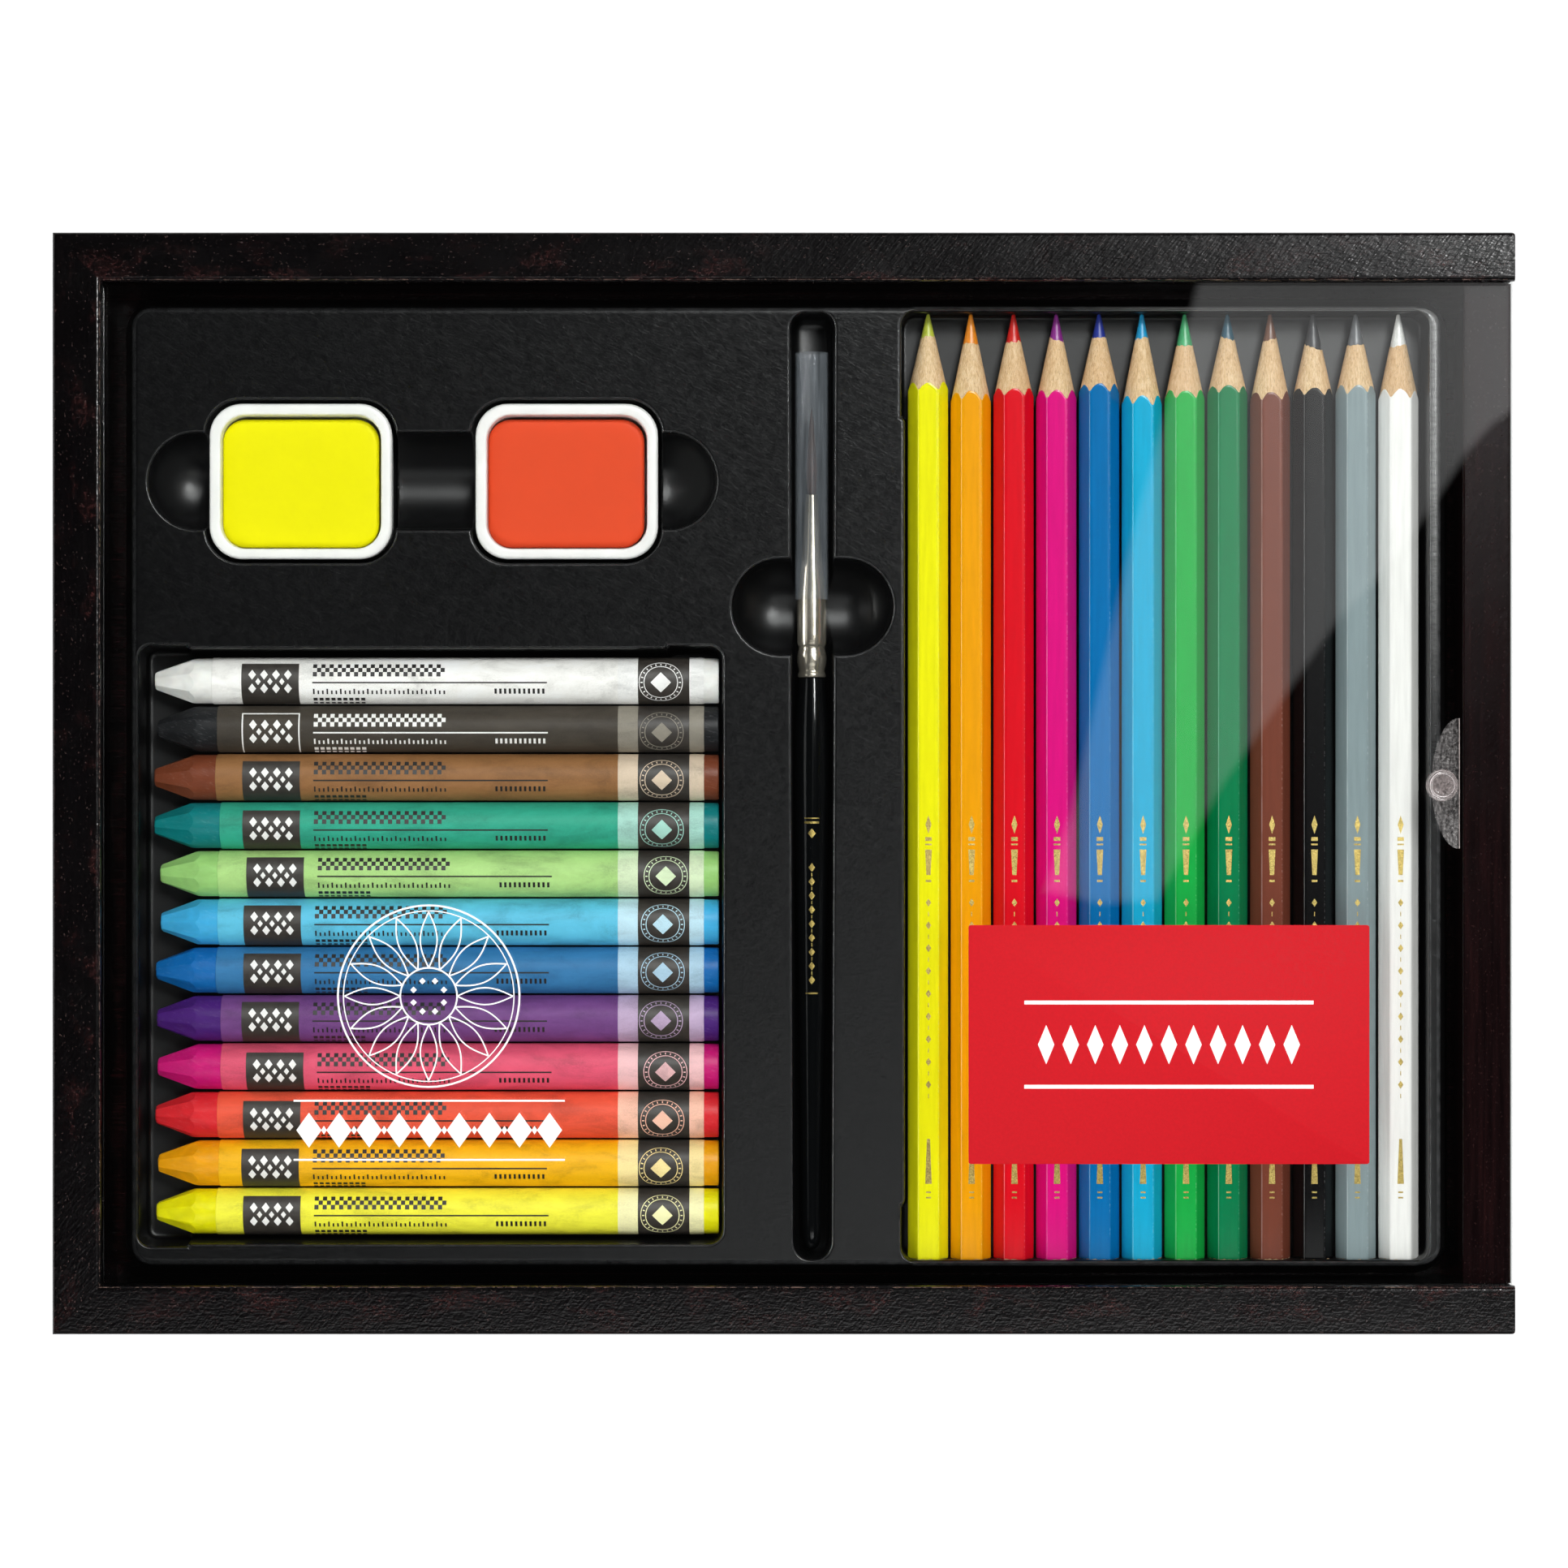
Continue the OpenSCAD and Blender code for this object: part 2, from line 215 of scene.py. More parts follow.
# ---------------------------------------------------------------- materials
def wood(name, axis, tone=1.0, red=0.5, edge=False, brown=False):
    """Near black stained wood under satin lacquer. The grain runs along axis."""
    M = Mat(name, Specular_IOR_Level=0.26 if brown else 0.5)
    pick = lambda a, b, c: (a, b, c) if axis == "x" else (b, a, c)
    streak = M.noise(M.co(pick(24, 0.8, 0.8)), 5, 0.62, 0.35)
    grain = M.noise(M.co(pick(1.4, 0.50, 0.50)), 1, 0.5, 0.5)
    sparks = M.noise(M.co(pick(0.6, 0.34, 0.4), shift=(5.3, 2.1, 0.7)), 1, 0.5)
    patch = M.noise(M.co(pick(11, 5, 6), shift=(3.1, 1.7, 0.4)), 3, 0.6, 0.5)
    fleck = M.noise(M.co(pick(0.9, 0.5, 0.5), shift=(1.3, 4.2, 2.0)), 3, 0.65, 0.3)
    lo, mid, hi = ((9, 3, 4), (20, 8, 9), (33, 14, 15)) if brown else ((2, 1, 2), (4, 2, 3), (8, 5, 6))
    base = M.ramp(streak, *[(q, lin([v * tone for v in c])) for q, c in ((0.30, lo), (0.52, mid), (0.74, hi))])
    x, y, z = M.xyz()
    top = M.span(z, 0.0250, 0.0256)
    across = M.math("ABSOLUTE", y) if axis == "x" else M.math("ABSOLUTE", x)
    inner = M.span(across, 0.0990, 0.0935, 0.35, 1.0) if axis == "x" else M.span(across, 0.1325, 0.1265, 0.35, 1.0)
    spot = M.math("MULTIPLY", M.ramp(patch, (0.53, 0.0), (0.68, 1.0)), M.ramp(fleck, (0.44, 0.0), (0.62, 1.0)))
    ruddy = M.math("MULTIPLY", M.math("MULTIPLY", spot, inner), M.math("MULTIPLY", top, red))
    base = M.mix(ruddy, base, lin((62, 29, 27)))
    # painted glints: sparse pale specks stand in for the lacquer's sparkling highlights
    painted_glint = M.ramp(sparks, (0.67, 0.0), (0.74, 0.35 if brown else 0.3))
    base = M.mix(painted_glint, base, lin((66, 42, 40) if brown else (92, 74, 70)))
    # the outer sides took less stain, so their grain shows
    ax, ay = M.math("ABSOLUTE", x), M.math("ABSOLUTE", y)
    outside = M.math("MAXIMUM", M.span(ax, 0.1330, 0.1334), M.span(ay, 0.1001, 0.1005))
    outside = M.math("MULTIPLY", outside, M.span(z, 0.0256, 0.0250))
    fibres = M.noise(M.co(pick(30, 0.9, 0.9), shift=(2.0, 6.0, 1.0)), 5, 0.68, 0.5)
    pale = M.ramp(fibres, (0.34, lin((9, 4, 4))), (0.52, lin((30, 15, 12))), (0.68, lin((62, 36, 27))))
    base = M.mix(outside, base, pale)
    if edge:
        # a pale band for the inner top arris: rub wear together with a painted highlight standing in for the arris'
        # reflection
        rub = M.ramp(M.noise(M.co((1.6, 1.6, 1.6)), 4, 0.75), (0.47, 0.0), (0.62, 0.5))
        base = M.mix(rub, base, lin((128, 104, 94)))
    strokes = M.noise(M.turned(math.radians(-50), (2.2, 0.38, 0.6)), 1, 0.5)
    h = M.math("ADD", M.math("MULTIPLY", grain, 1.0), M.math("MULTIPLY", strokes, 0.75))
    h = M.math("ADD", h, M.math("MULTIPLY", sparks, 0.15))
    lo, hi = (0.10, 0.12) if brown else (0.17, 0.21)
    rough = M.ramp(M.noise(M.co((9, 9, 9)), 3, 0.6), (0.3, lo), (0.7, hi))
    M.set(Base_Color=base, Roughness=rough, Normal=M.bump(h, 0.014 if brown else 0.040, 1.0))
    return M.m


def tray_plastic():
    """Black formed sheet: leathery grain on the land, smoother where it is stretched."""
    M = Mat("tray_black", Specular_IOR_Level=0.5)
    fine = M.noise(M.co((0.42, 0.42, 0.42)), 3, 0.6)
    creases = M.noise(M.turned(math.radians(24), (1.7, 0.62, 1.0)), 3, 0.55, 0.9)
    cross = M.noise(M.turned(math.radians(-40), (1.5, 0.7, 1.0), (7.1, 2.2, 0)), 2, 0.5, 0.6)
    h = M.math("ADD", M.math("MULTIPLY", creases, 1.0), M.math("MULTIPLY", fine, 0.22))
    h = M.math("ADD", h, M.math("MULTIPLY", cross, 0.5))
    x, y, z = M.xyz()
    flat = M.span(z, 0.0166, 0.0174, 0.24, 1.0)
    n = M.node("Bump")
    n.inputs["Distance"].default_value = 0.030 * MM
    M.put(n.inputs["Height"], h)
    M.put(n.inputs["Strength"], flat)
    tint = M.ramp(M.noise(M.co((28, 28, 28)), 3, 0.6), (0.3, lin((7, 7, 8))), (0.7, lin((11, 11, 12))))
    dust = M.ramp(M.noise(M.co((0.34, 0.34, 0.34)), 1, 0.4), (0.78, 0.0), (0.84, 0.25))
    col = M.mix(dust, tint, lin((58, 58, 60)))
    # the rims are paler: stress whitening where the sheet is drawn over an edge, together with a painted highlight on
    # them
    up = M.node("SeparateXYZ")
    M.put(up.inputs[0], M.node("TexCoord").outputs["Normal"])
    whitening_and_highlight = M.math("MULTIPLY", M.span(up.outputs[2], 0.995, 0.96), M.span(up.outputs[2], 0.55, 0.80))
    whitening_and_highlight = M.math("MULTIPLY", whitening_and_highlight, M.span(z, 0.0160, 0.0168))
    edge_light = M.ramp(M.noise(M.co((2.2, 2.2, 2.2), shift=(4.0, 1.0, 2.0)), 3, 0.6), (0.3, 0.35), (0.65, 1.0))
    # painted light: the pale rims grow stronger towards +X, where the light comes from
    whitening_and_highlight = M.math("MULTIPLY", whitening_and_highlight, M.span(x, -0.06, 0.06, 0.3, 1.0))
    col = M.mix(M.math("MULTIPLY", whitening_and_highlight, edge_light), col, lin((70, 70, 71)))
    # painted shade: the sheet is darker below the land, deep in the pockets and bowls
    col = M.mix(M.span(z, 0.0160, 0.0120), col, lin((5, 5, 6)))
    # painted highlight: the narrow ridge behind the pencils' tips and beside the white one is lightened most, fading
    # out towards -Y where the lamp's light on it ends
    ribs = M.ramp(M.noise(M.co((1.7, 0.55, 2.0), shift=(1.0, 2.0, 0.0)), 3, 0.55, 0.8), (0.34, 0.55), (0.62, 1.0))
    side = M.math("MULTIPLY", M.math("MULTIPLY", M.span(x, 0.1186, 0.1192), M.span(x, 0.1207, 0.1203)), M.span(y, 0.0, 0.062, 0.05, 1.0))
    back = M.math("MULTIPLY", M.span(y, 0.0866, 0.0870), M.span(x, 0.050, 0.072))
    thin = M.span(up.outputs[2], 0.998, 0.97)
    ridge_highlight = M.math("MAXIMUM", M.math("MULTIPLY", side, ribs), M.math("MULTIPLY", back, thin))
    ridge_highlight = M.math("MULTIPLY", M.math("MULTIPLY", ridge_highlight, M.span(z, 0.0162, 0.0169)), M.span(up.outputs[2], 0.60, 0.85))
    col = M.mix(M.math("MULTIPLY", ridge_highlight, 0.9), col, lin((118, 118, 117)))
    grain = M.ramp(M.noise(M.co((1.3, 1.3, 1.3)), 3, 0.6), (0.3, 0.18), (0.7, 0.23))
    rough = M.mix(M.span(z, 0.0160, 0.0173), (0.32, 0.32, 0.32, 1), grain)
    M.set(Base_Color=col, Roughness=rough, Normal=n.outputs[0])
    return M.m


def acrylic(name="acrylic", tint=(0.985, 0.992, 0.99, 1)):
    M = Mat(name)
    nt = M.nt
    nt.nodes.remove(M.p)
    clear = M.node("BsdfTransparent")
    clear.inputs[0].default_value = tint
    shine = M.node("BsdfGlossy")
    shine.inputs["Color"].default_value = (1, 1, 1, 1)
    shine.inputs["Roughness"].default_value = 0.0
    lw = M.node("LayerWeight")
    lw.inputs["Blend"].default_value = 0.5
    f = M.math("POWER", lw.outputs["Facing"], 5.0)
    f = M.math("MULTIPLY_ADD", f, 0.92, 0.039)
    mx = M.node("MixShader")
    M.put(mx.inputs[0], f)
    M.put(mx.inputs[1], clear.outputs[0])
    M.put(mx.inputs[2], shine.outputs[0])
    nt.links.new(mx.outputs[0], M.out.inputs["Surface"])
    return M.m


def frosted():
    """Milled face of the thumb nick: tool marks along Y, and a paler lower half."""
    M = Mat("acrylic_milled", Roughness=0.32, Specular_IOR_Level=0.5)
    marks = M.noise(M.co((0.5, 4.5, 2.0)), 3, 0.6, 0.4)
    speck = M.noise(M.co((0.5, 0.5, 0.5)), 3, 0.65)
    x, y, z = M.xyz()
    low = M.span(y, 0.002, -0.010)
    k = M.math("ADD", M.math("MULTIPLY", marks, 0.35), M.math("MULTIPLY", speck, 0.58))
    k = M.math("ADD", k, M.math("MULTIPLY", low, 0.03))
    fac = M.ramp(k, (0.38, 0.10), (0.60, 0.42))
    M.set(Base_Color=M.ramp(k, (0.35, lin((110, 106, 106))), (0.65, lin((206, 202, 200)))),
          Normal=M.bump(M.math("ADD", marks, speck), 0.06, 0.9))
    clear = M.node("BsdfTransparent")
    mx = M.node("MixShader")
    M.put(mx.inputs[0], fac)
    M.put(mx.inputs[1], clear.outputs[0])
    M.put(mx.inputs[2], M.p.outputs[0])
    M.nt.links.new(mx.outputs[0], M.out.inputs["Surface"])
    return M.m


def clear_plastic(name, colour, lo, hi, size, rough=0.1, bend=3.0, rim_k=0.5):
    """Clear plastic that is partly milky: the share seen runs from lo to hi."""
    M = Mat(name, Roughness=rough, Specular_IOR_Level=0.6)
    k = M.noise(M.co(size), 3, 0.6, 0.4)
    lw = M.node("LayerWeight")
    lw.inputs["Blend"].default_value = 0.5
    rim = M.math("POWER", lw.outputs["Facing"], bend)
    fac = M.math("ADD", M.ramp(k, (0.35, lo), (0.68, hi)), M.math("MULTIPLY", rim, rim_k), clamp=True)
    M.set(Base_Color=M.ramp(k, (0.3, lin([c * 0.86 for c in colour])), (0.7, lin(colour))),
          Normal=M.bump(k, 0.03, 0.6))
    clear = M.node("BsdfTransparent")
    mx = M.node("MixShader")
    M.put(mx.inputs[0], fac)
    M.put(mx.inputs[1], clear.outputs[0])
    M.put(mx.inputs[2], M.p.outputs[0])
    M.nt.links.new(mx.outputs[0], M.out.inputs["Surface"])
    return M.m


def lacquer(name, c, along="y", rough=0.2, spec=0.24, edge_light=False):
    """Glossy lacquer with a little waviness and a few specks. Optionally, highlights are
    painted on the arrises beside the upper face: a line on the left one and dots on the right one."""
    M = Mat(name, Specular_IOR_Level=spec, Roughness=rough)
    s = (0.7, 12, 0.7) if along == "y" else (12, 0.7, 0.7)
    wave = M.noise(M.co(s), 3, 0.6)
    orange = M.noise(M.co((0.45, 0.9, 0.45)), 2, 0.5)
    dark = lin([v * 0.92 for v in c])
    speck = M.ramp(M.noise(M.co((0.22, 0.5, 0.22)), 1, 0.4), (0.72, 0.0), (0.80, 0.2))
    col = M.mix(M.ramp(wave, (0.35, 0.0), (0.65, 0.5)), lin(c), dark)
    col = M.mix(speck, col, lin([min(255, v * 0.7 + 70) for v in c]))
    if edge_light:
        sep = M.node("SeparateXYZ")
        M.put(sep.inputs[0], M.node("TexCoord").outputs["Normal"])
        nx, nz = sep.outputs[0], sep.outputs[2]
        up = M.span(nz, 0.5, 0.7)
        left = M.span(M.math("ABSOLUTE", M.math("ADD", nx, 0.5)), 0.15, 0.06)
        right = M.span(M.math("ABSOLUTE", M.math("SUBTRACT", nx, 0.5)), 0.17, 0.06)
        thin = M.ramp(M.noise(M.co((0.9, 7, 0.9)), 3, 0.6), (0.36, 0.35), (0.52, 0.8))
        dots = M.ramp(M.noise(M.co((0.5, 0.55, 0.5)), 2, 0.6), (0.52, 0.05), (0.62, 0.75))
        # painted highlights on the arrises: a thin line on the left one, dots on the right one
        w = M.math("ADD", M.math("MULTIPLY", left, thin), M.math("MULTIPLY", right, dots), clamp=True)
        col = M.mix(M.math("MULTIPLY", w, up), col, lin([min(255, v * 0.62 + 96) for v in c]))
    h = M.math("ADD", M.math("MULTIPLY", wave, 0.8), M.math("MULTIPLY", orange, 0.4))
    M.set(Base_Color=col, Normal=M.bump(h, 0.014, 0.7))
    return M.m


def cedar():
    """Sharpened wood with fine streaks along the pencil."""
    M = Mat("pencil_wood", Roughness=0.62, Specular_IOR_Level=0.3)
    streak = M.noise(M.co((0.26, 4.8, 0.26)), 3, 0.6, 0.15)
    flecks = M.noise(M.co((0.14, 1.5, 0.14)), 1, 0.5)
    board = M.noise(M.co((7.0, 60, 7.0)), 1, 0.5)
    col = M.ramp(streak, (0.30, lin((204, 166, 118))), (0.5, lin((228, 196, 150))), (0.70, lin((242, 217, 178))))
    col = M.mix(M.ramp(board, (0.40, 0.0), (0.62, 0.35)), col, lin((206, 156, 108)))
    col = M.mix(M.ramp(flecks, (0.30, 0.6), (0.40, 0.0)), col, lin((166, 122, 84)))
    M.set(Base_Color=col, Normal=M.bump(M.math("ADD", streak, flecks), 0.03, 0.8))
    return M.m


def lead(name, c):
    M = Mat(name, Roughness=0.36, Specular_IOR_Level=0.5)
    streak = M.noise(M.co((0.35, 1.2, 0.35)), 4, 0.65)
    col = M.mix(M.ramp(streak, (0.35, 0.0), (0.68, 0.6)), lin(c), lin([v * 0.72 for v in c]))
    M.set(Base_Color=col, Normal=M.bump(streak, 0.05, 0.8))
    return M.m


def wax(name, c, dark=False):
    """Wax crayon: soft sheen, rub marks and a little dust at the tip."""
    M = Mat(name, Roughness=0.38, Specular_IOR_Level=0.2)
    blur = M.noise(M.co((3.5, 2.2, 2.2)), 4, 0.6, 0.4)
    rub = M.noise(M.turned(math.radians(20), (1.6, 0.3, 0.5)), 4, 0.7, 0.5)
    col = M.mix(M.ramp(blur, (0.35, 0.0), (0.7, 0.55)), lin(c), lin([v * 0.84 for v in c]))
    gain = 0.30 if dark else 0.22
    col = M.mix(M.ramp(rub, (0.56, 0.0), (0.72, gain)), col, lin([min(255, v * 0.55 + 115) for v in c]))
    h = M.math("ADD", M.math("MULTIPLY", blur, 0.9), M.math("MULTIPLY", rub, 0.5))
    M.set(Base_Color=col, Roughness=M.ramp(rub, (0.4, 0.30), (0.7, 0.52)), Normal=M.bump(h, 0.06, 0.8))
    if not dark:
        M.p.inputs["Subsurface Weight"].default_value = 0.12
        M.p.inputs["Subsurface Radius"].default_value = (0.0009, 0.0006, 0.0004)
        M.p.inputs["Subsurface Scale"].default_value = 1.0
    return M.m


def paper(name, c, glossy=False):
    """Wrapper paper with fibre, faint wrinkles and a soft sheen."""
    M = Mat(name, Roughness=0.5 if not glossy else 0.36, Specular_IOR_Level=0.18)
    fibre = M.noise(M.co((0.30, 0.22, 0.22)), 3, 0.65)
    cloud = M.noise(M.co((9, 4, 4)), 4, 0.6, 0.5)
    folds = M.noise(M.co((14, 1.6, 1.6)), 3, 0.6, 0.8)
    lo = [v * 0.86 for v in c]
    hi = [min(255, v * 1.05 + 3) for v in c]
    col = M.ramp(M.math("ADD", M.math("MULTIPLY", cloud, 0.7), M.math("MULTIPLY", fibre, 0.3)),
                 (0.34, lin(lo)), (0.5, lin(c)), (0.66, lin(hi)))
    h = M.math("ADD", M.math("MULTIPLY", fibre, 0.35), M.math("MULTIPLY", folds, 1.6))
    M.set(Base_Color=col, Normal=M.bump(h, 0.05, 0.7))
    return M.m


def nickel():
    """Turned and plated: fine rings round the ferrule draw the light out along it."""
    M = Mat("nickel", Metallic=0.88)
    k = M.noise(M.co((1.4, 5.6, 1.4)), 4, 0.6, 0.3)
    rings = M.noise(M.co((6, 0.09, 6)), 1, 0.5)
    col = M.ramp(k, (0.3, lin((198, 190, 172))), (0.7, lin((222, 214, 198))))
    first = M.bump(k, 0.012, 0.7)
    M.set(Base_Color=col, Roughness=M.ramp(k, (0.3, 0.16), (0.7, 0.24)), Normal=M.bump(rings, 0.012, 1.0, normal=first))
    return M.m


def plain(name, c, rough=0.5, size=2.0, depth=0.02, vary=0.1, metal=0.0, spec=0.5, stretch=(1, 1, 1)):
    M = Mat(name, Specular_IOR_Level=spec, Metallic=metal)
    k = M.noise(M.co([size * s for s in stretch]), 4, 0.6, 0.3)
    col = M.ramp(k, (0.3, lin([v * (1 - vary) for v in c])), (0.7, lin([min(255, v * (1 + vary * 0.6)) for v in c])))
    M.set(Base_Color=col, Roughness=M.ramp(k, (0.3, rough * 0.85), (0.7, min(1, rough * 1.15))),
          Normal=M.bump(k, depth, 0.7))
    return M.m


WOOD_X = wood("wood_dark_rail", "x", 1.0, 0.8)
WOOD_Y = wood("wood_dark_end", "y", 1.0, 0.7)
WOOD_BAR = wood("wood_dark_bar", "y", 1.0, 0.0, brown=True)
WOOD_EDGE_RUB_HIGHLIGHT = wood("wood_dark_edge", "x", 1.1, 0.5, edge=True)
BASE = wood("base_board_wood", "x", 1.3, 0.0, brown=True)
TRAY = tray_plastic()
ACRYLIC = acrylic()
MILLED = frosted()
STUD = clear_plastic("clear_stud", (212, 198, 196), 0.05, 0.34, (0.42, 0.42, 0.42), 0.12)
STUD_RIM_HIGHLIGHT = plain("stud_rim", (214, 206, 206), 0.3, 0.4, 0.02, 0.2)
NICK_EDGE_HIGHLIGHT = plain("nick_edge", (150, 138, 134), 0.4, 1.2, 0.02, 0.4)
CUT_EDGE = clear_plastic("acrylic_edge", (176, 190, 188), 0.16, 0.24, (9, 9, 1.2), 0.18, 3.0, 0.1)
SLEEVE = clear_plastic("sleeve_clear", (176, 184, 192), 0.045, 0.14, (0.6, 12, 0.6), 0.10, 1.6, 0.30)
LABEL = plain("red_label", (198, 25, 35), 0.62, 0.5, 0.01, 0.03, spec=0.06)
WHITE_INK = plain("white_ink", (248, 248, 246), 0.5, 0.4, 0.01, 0.03)
PAN = plain("pan_white", (243, 243, 240), 0.34, 6.0, 0.03, 0.02)
GOUACHE_Y = plain("gouache_yellow", (236, 229, 1), 0.5, 3.5, 0.03, 0.008, spec=0.06)
GOUACHE_O = plain("gouache_orange", (222, 76, 40), 0.5, 3.5, 0.03, 0.01, spec=0.08)
NICKEL = nickel()
HANDLE = lacquer("lacquer_black", (6, 7, 8), rough=0.1, spec=0.5)
GOLD = plain("gold_foil", (186, 164, 96), 0.34, 0.16, 0.03, 0.45, metal=1.0)
HAIR = plain("hair_brown", (70, 45, 36), 0.5, 0.5, 0.03, 0.35, stretch=(0.4, 6, 0.4))
CEDAR = cedar()
PRINT = plain("print_dark", (52, 47, 42), 0.5, 1.2, 0.03, 0.16)
INK = plain("print_black", (30, 27, 25), 0.5, 0.6, 0.02, 0.12)
PAPER_WHITE = plain("print_white", (244, 243, 240), 0.5, 0.6, 0.02, 0.03)

COL = ["yellow", "orange", "red", "magenta", "blue", "sky", "green", "dark_green", "brown", "black", "grey", "white"]
LACQ = [(243, 240, 14), (243, 163, 2), (222, 12, 30), (223, 14, 128), (2, 110, 176), (22, 172, 214),
        (24, 172, 70), (4, 124, 74), (118, 62, 46), (7, 7, 8), (138, 154, 157), (248, 247, 243)]
LEAD = [(200, 212, 70), (246, 146, 30), (218, 34, 28), (146, 44, 146), (40, 56, 156), (28, 160, 214),
        (72, 178, 116), (50, 94, 112), (120, 80, 62), (64, 64, 67), (108, 110, 113), (244, 244, 240)]
# Where the lacquer ends, in mm from the middle, on the upper face of each pencil
SCALLOP = [74.1, 72.4, 73.0, 72.7, 73.8, 71.8, 72.6, 73.5, 72.3, 73.2, 73.5, 72.7]
LEAD_Y = [82.4, 81.2, 81.6, 82.2, 82.6, 82.3, 81.0, 82.5, 82.1, 80.7, 81.1, 81.0]

WAXN = ["white", "black", "brown", "emerald", "lime", "sky", "cobalt", "violet", "magenta", "red", "orange", "yellow"]
WAXC = [(247, 246, 241), (30, 31, 33), (122, 62, 38), (8, 126, 128), (160, 214, 122), (66, 178, 230),
        (14, 106, 180), (74, 30, 118), (208, 20, 118), (224, 40, 48), (243, 166, 6), (244, 238, 6)]
PAPC = [(248, 246, 241), (66, 60, 52), (146, 102, 62), (46, 162, 134), (172, 214, 130), (92, 190, 222),
        (50, 116, 166), (112, 66, 128), (222, 84, 112), (231, 86, 60), (244, 182, 14), (244, 238, 62)]
TINT = [(247, 246, 243), (138, 132, 120), (212, 192, 168), (166, 214, 200), (216, 234, 194), (192, 226, 240),
        (170, 202, 222), (188, 164, 194), (240, 190, 192), (248, 192, 168), (249, 224, 156), (248, 242, 184)]


# ---------------------------------------------------------------- mesh helpers
def add(name, verts, faces, mats, fmat=None, smooth=True, body="box", replaces=(), sharp=None):
    me = bpy.data.meshes.new(name)
    me.from_pydata([(x * MM, y * MM, z * MM) for x, y, z in verts], [], [tuple(f) for f in faces])
    for m in mats:
        me.materials.append(m)
    if fmat is not None:
        me.polygons.foreach_set("material_index", np.array(fmat, dtype=np.int32))
    me.polygons.foreach_set("use_smooth", np.full(len(me.polygons), smooth))
    me.update()
    bm = bmesh.new()
    bm.from_mesh(me)
    bmesh.ops.recalc_face_normals(bm, faces=bm.faces)
    bm.to_mesh(me)
    bm.free()
    if sharp is not None:
        me.set_sharp_from_angle(angle=math.radians(sharp))
    ob = bpy.data.objects.new(name, me)
    scene.collection.objects.link(ob)
    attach(ob, body)
    if replaces:
        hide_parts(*replaces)
    return ob


class Shells:
    """Gathers closed shells into one mesh."""

    def __init__(self):
        self.v, self.f, self.m = [], [], []

    def extend(self, verts, faces, mat=0):
        k = len(self.v)
        self.v += list(verts)
        self.f += [tuple(i + k for i in f) for f in faces]
        self.m += [mat] * len(faces) if isinstance(mat, int) else list(mat)


def loft(rows, cap0=True, cap1=True, ring=False):
    """Closed rows of equal length, joined in order. ring joins the last row to the first."""
    n = len(rows[0])
    v = [p for r in rows for p in r]
    f, rowid = [], []
    pairs = list(zip(range(len(rows) - 1), range(1, len(rows))))
    if ring:
        pairs.append((len(rows) - 1, 0))
    for a, b in pairs:
        for j in range(n):
            k = (j + 1) % n
            f.append((a * n + j, a * n + k, b * n + k, b * n + j))
            rowid.append(a)
    if not ring and cap0:
        f.append(tuple(range(n))[::-1])
        rowid.append(-1)
    if not ring and cap1:
        a = (len(rows) - 1) * n
        f.append(tuple(range(a, a + n)))
        rowid.append(-2)
    return v, f, rowid


def lathe(profile, place, n=48):
    """profile is [(radius, t)]; place(radius, angle, t) gives a point. Radius 0 at an end closes it to a point."""
    v, f, idx = [], [], []
    for r, t in profile:
        if r <= 1e-6:
            idx.append([len(v)] * n)
            v.append(place(0, 0, t))
        else:
            idx.append(list(range(len(v), len(v) + n)))
            v += [place(r, 2 * math.pi * j / n, t) for j in range(n)]
    for a, b in zip(idx, idx[1:]):
        for j in range(n):
            k = (j + 1) % n
            q = [a[j], a[k], b[k], b[j]]
            q = [x for i, x in enumerate(q) if x not in q[:i]]
            if len(q) > 2:
                f.append(tuple(q))
    if profile[0] == profile[-1]:  # a ring: its last row is its first
        pass
    return v, f


def ring_lathe(profile, place, n=48):
    """A closed profile turned into a ring."""
    rows = [[place(r, 2 * math.pi * j / n, t) for j in range(n)] for r, t in profile]
    v, f, _ = loft(rows, ring=True)
    return v, f


def smooth_profile(pts, step=0.6, passes=2):
    """Cuts corners of an open profile, keeping its ends."""
    for _ in range(passes):
        out = [pts[0]]
        for a, b in zip(pts, pts[1:]):
            out.append(tuple(a[i] * 0.75 + b[i] * 0.25 for i in range(2)))
            out.append(tuple(a[i] * 0.25 + b[i] * 0.75 for i in range(2)))
        out.append(pts[-1])
        pts = out
    return pts


def rrect(x0, x1, y0, y1, r, n=9):
    """Outline of a rounded rectangle, counter-clockwise."""
    out = []
    for cx, cy, a0 in ((x1 - r, y1 - r, 0), (x0 + r, y1 - r, 90), (x0 + r, y0 + r, 180), (x1 - r, y0 + r, 270)):
        for i in range(n + 1):
            a = math.radians(a0 + 90 * i / n)
            out.append((cx + r * math.cos(a), cy + r * math.sin(a)))
    return out


def rounded_poly(pts, n=7):
    """pts is [(x, y, radius)], counter-clockwise. Every corner becomes an arc."""
    out = []
    for i, (x, y, r) in enumerate(pts):
        ax, ay, _ = pts[i - 1]
        bx, by, _ = pts[(i + 1) % len(pts)]
        u = Vector((ax - x, ay - y)).normalized()
        w = Vector((bx - x, by - y)).normalized()
        ang = math.acos(max(-1, min(1, u.dot(w))))
        t = r / math.tan(ang / 2)
        p, q = Vector((x, y)) + u * t, Vector((x, y)) + w * t
        c = Vector((x, y)) + (u + w).normalized() * (r / math.sin(ang / 2))
        a0 = math.atan2(p.y - c.y, p.x - c.x)
        a1 = math.atan2(q.y - c.y, q.x - c.x)
        d = (a1 - a0 + math.pi) % (2 * math.pi) - math.pi
        for k in range(n + 1):
            a = a0 + d * k / n
            out.append((c.x + r * math.cos(a), c.y + r * math.sin(a)))
    return out


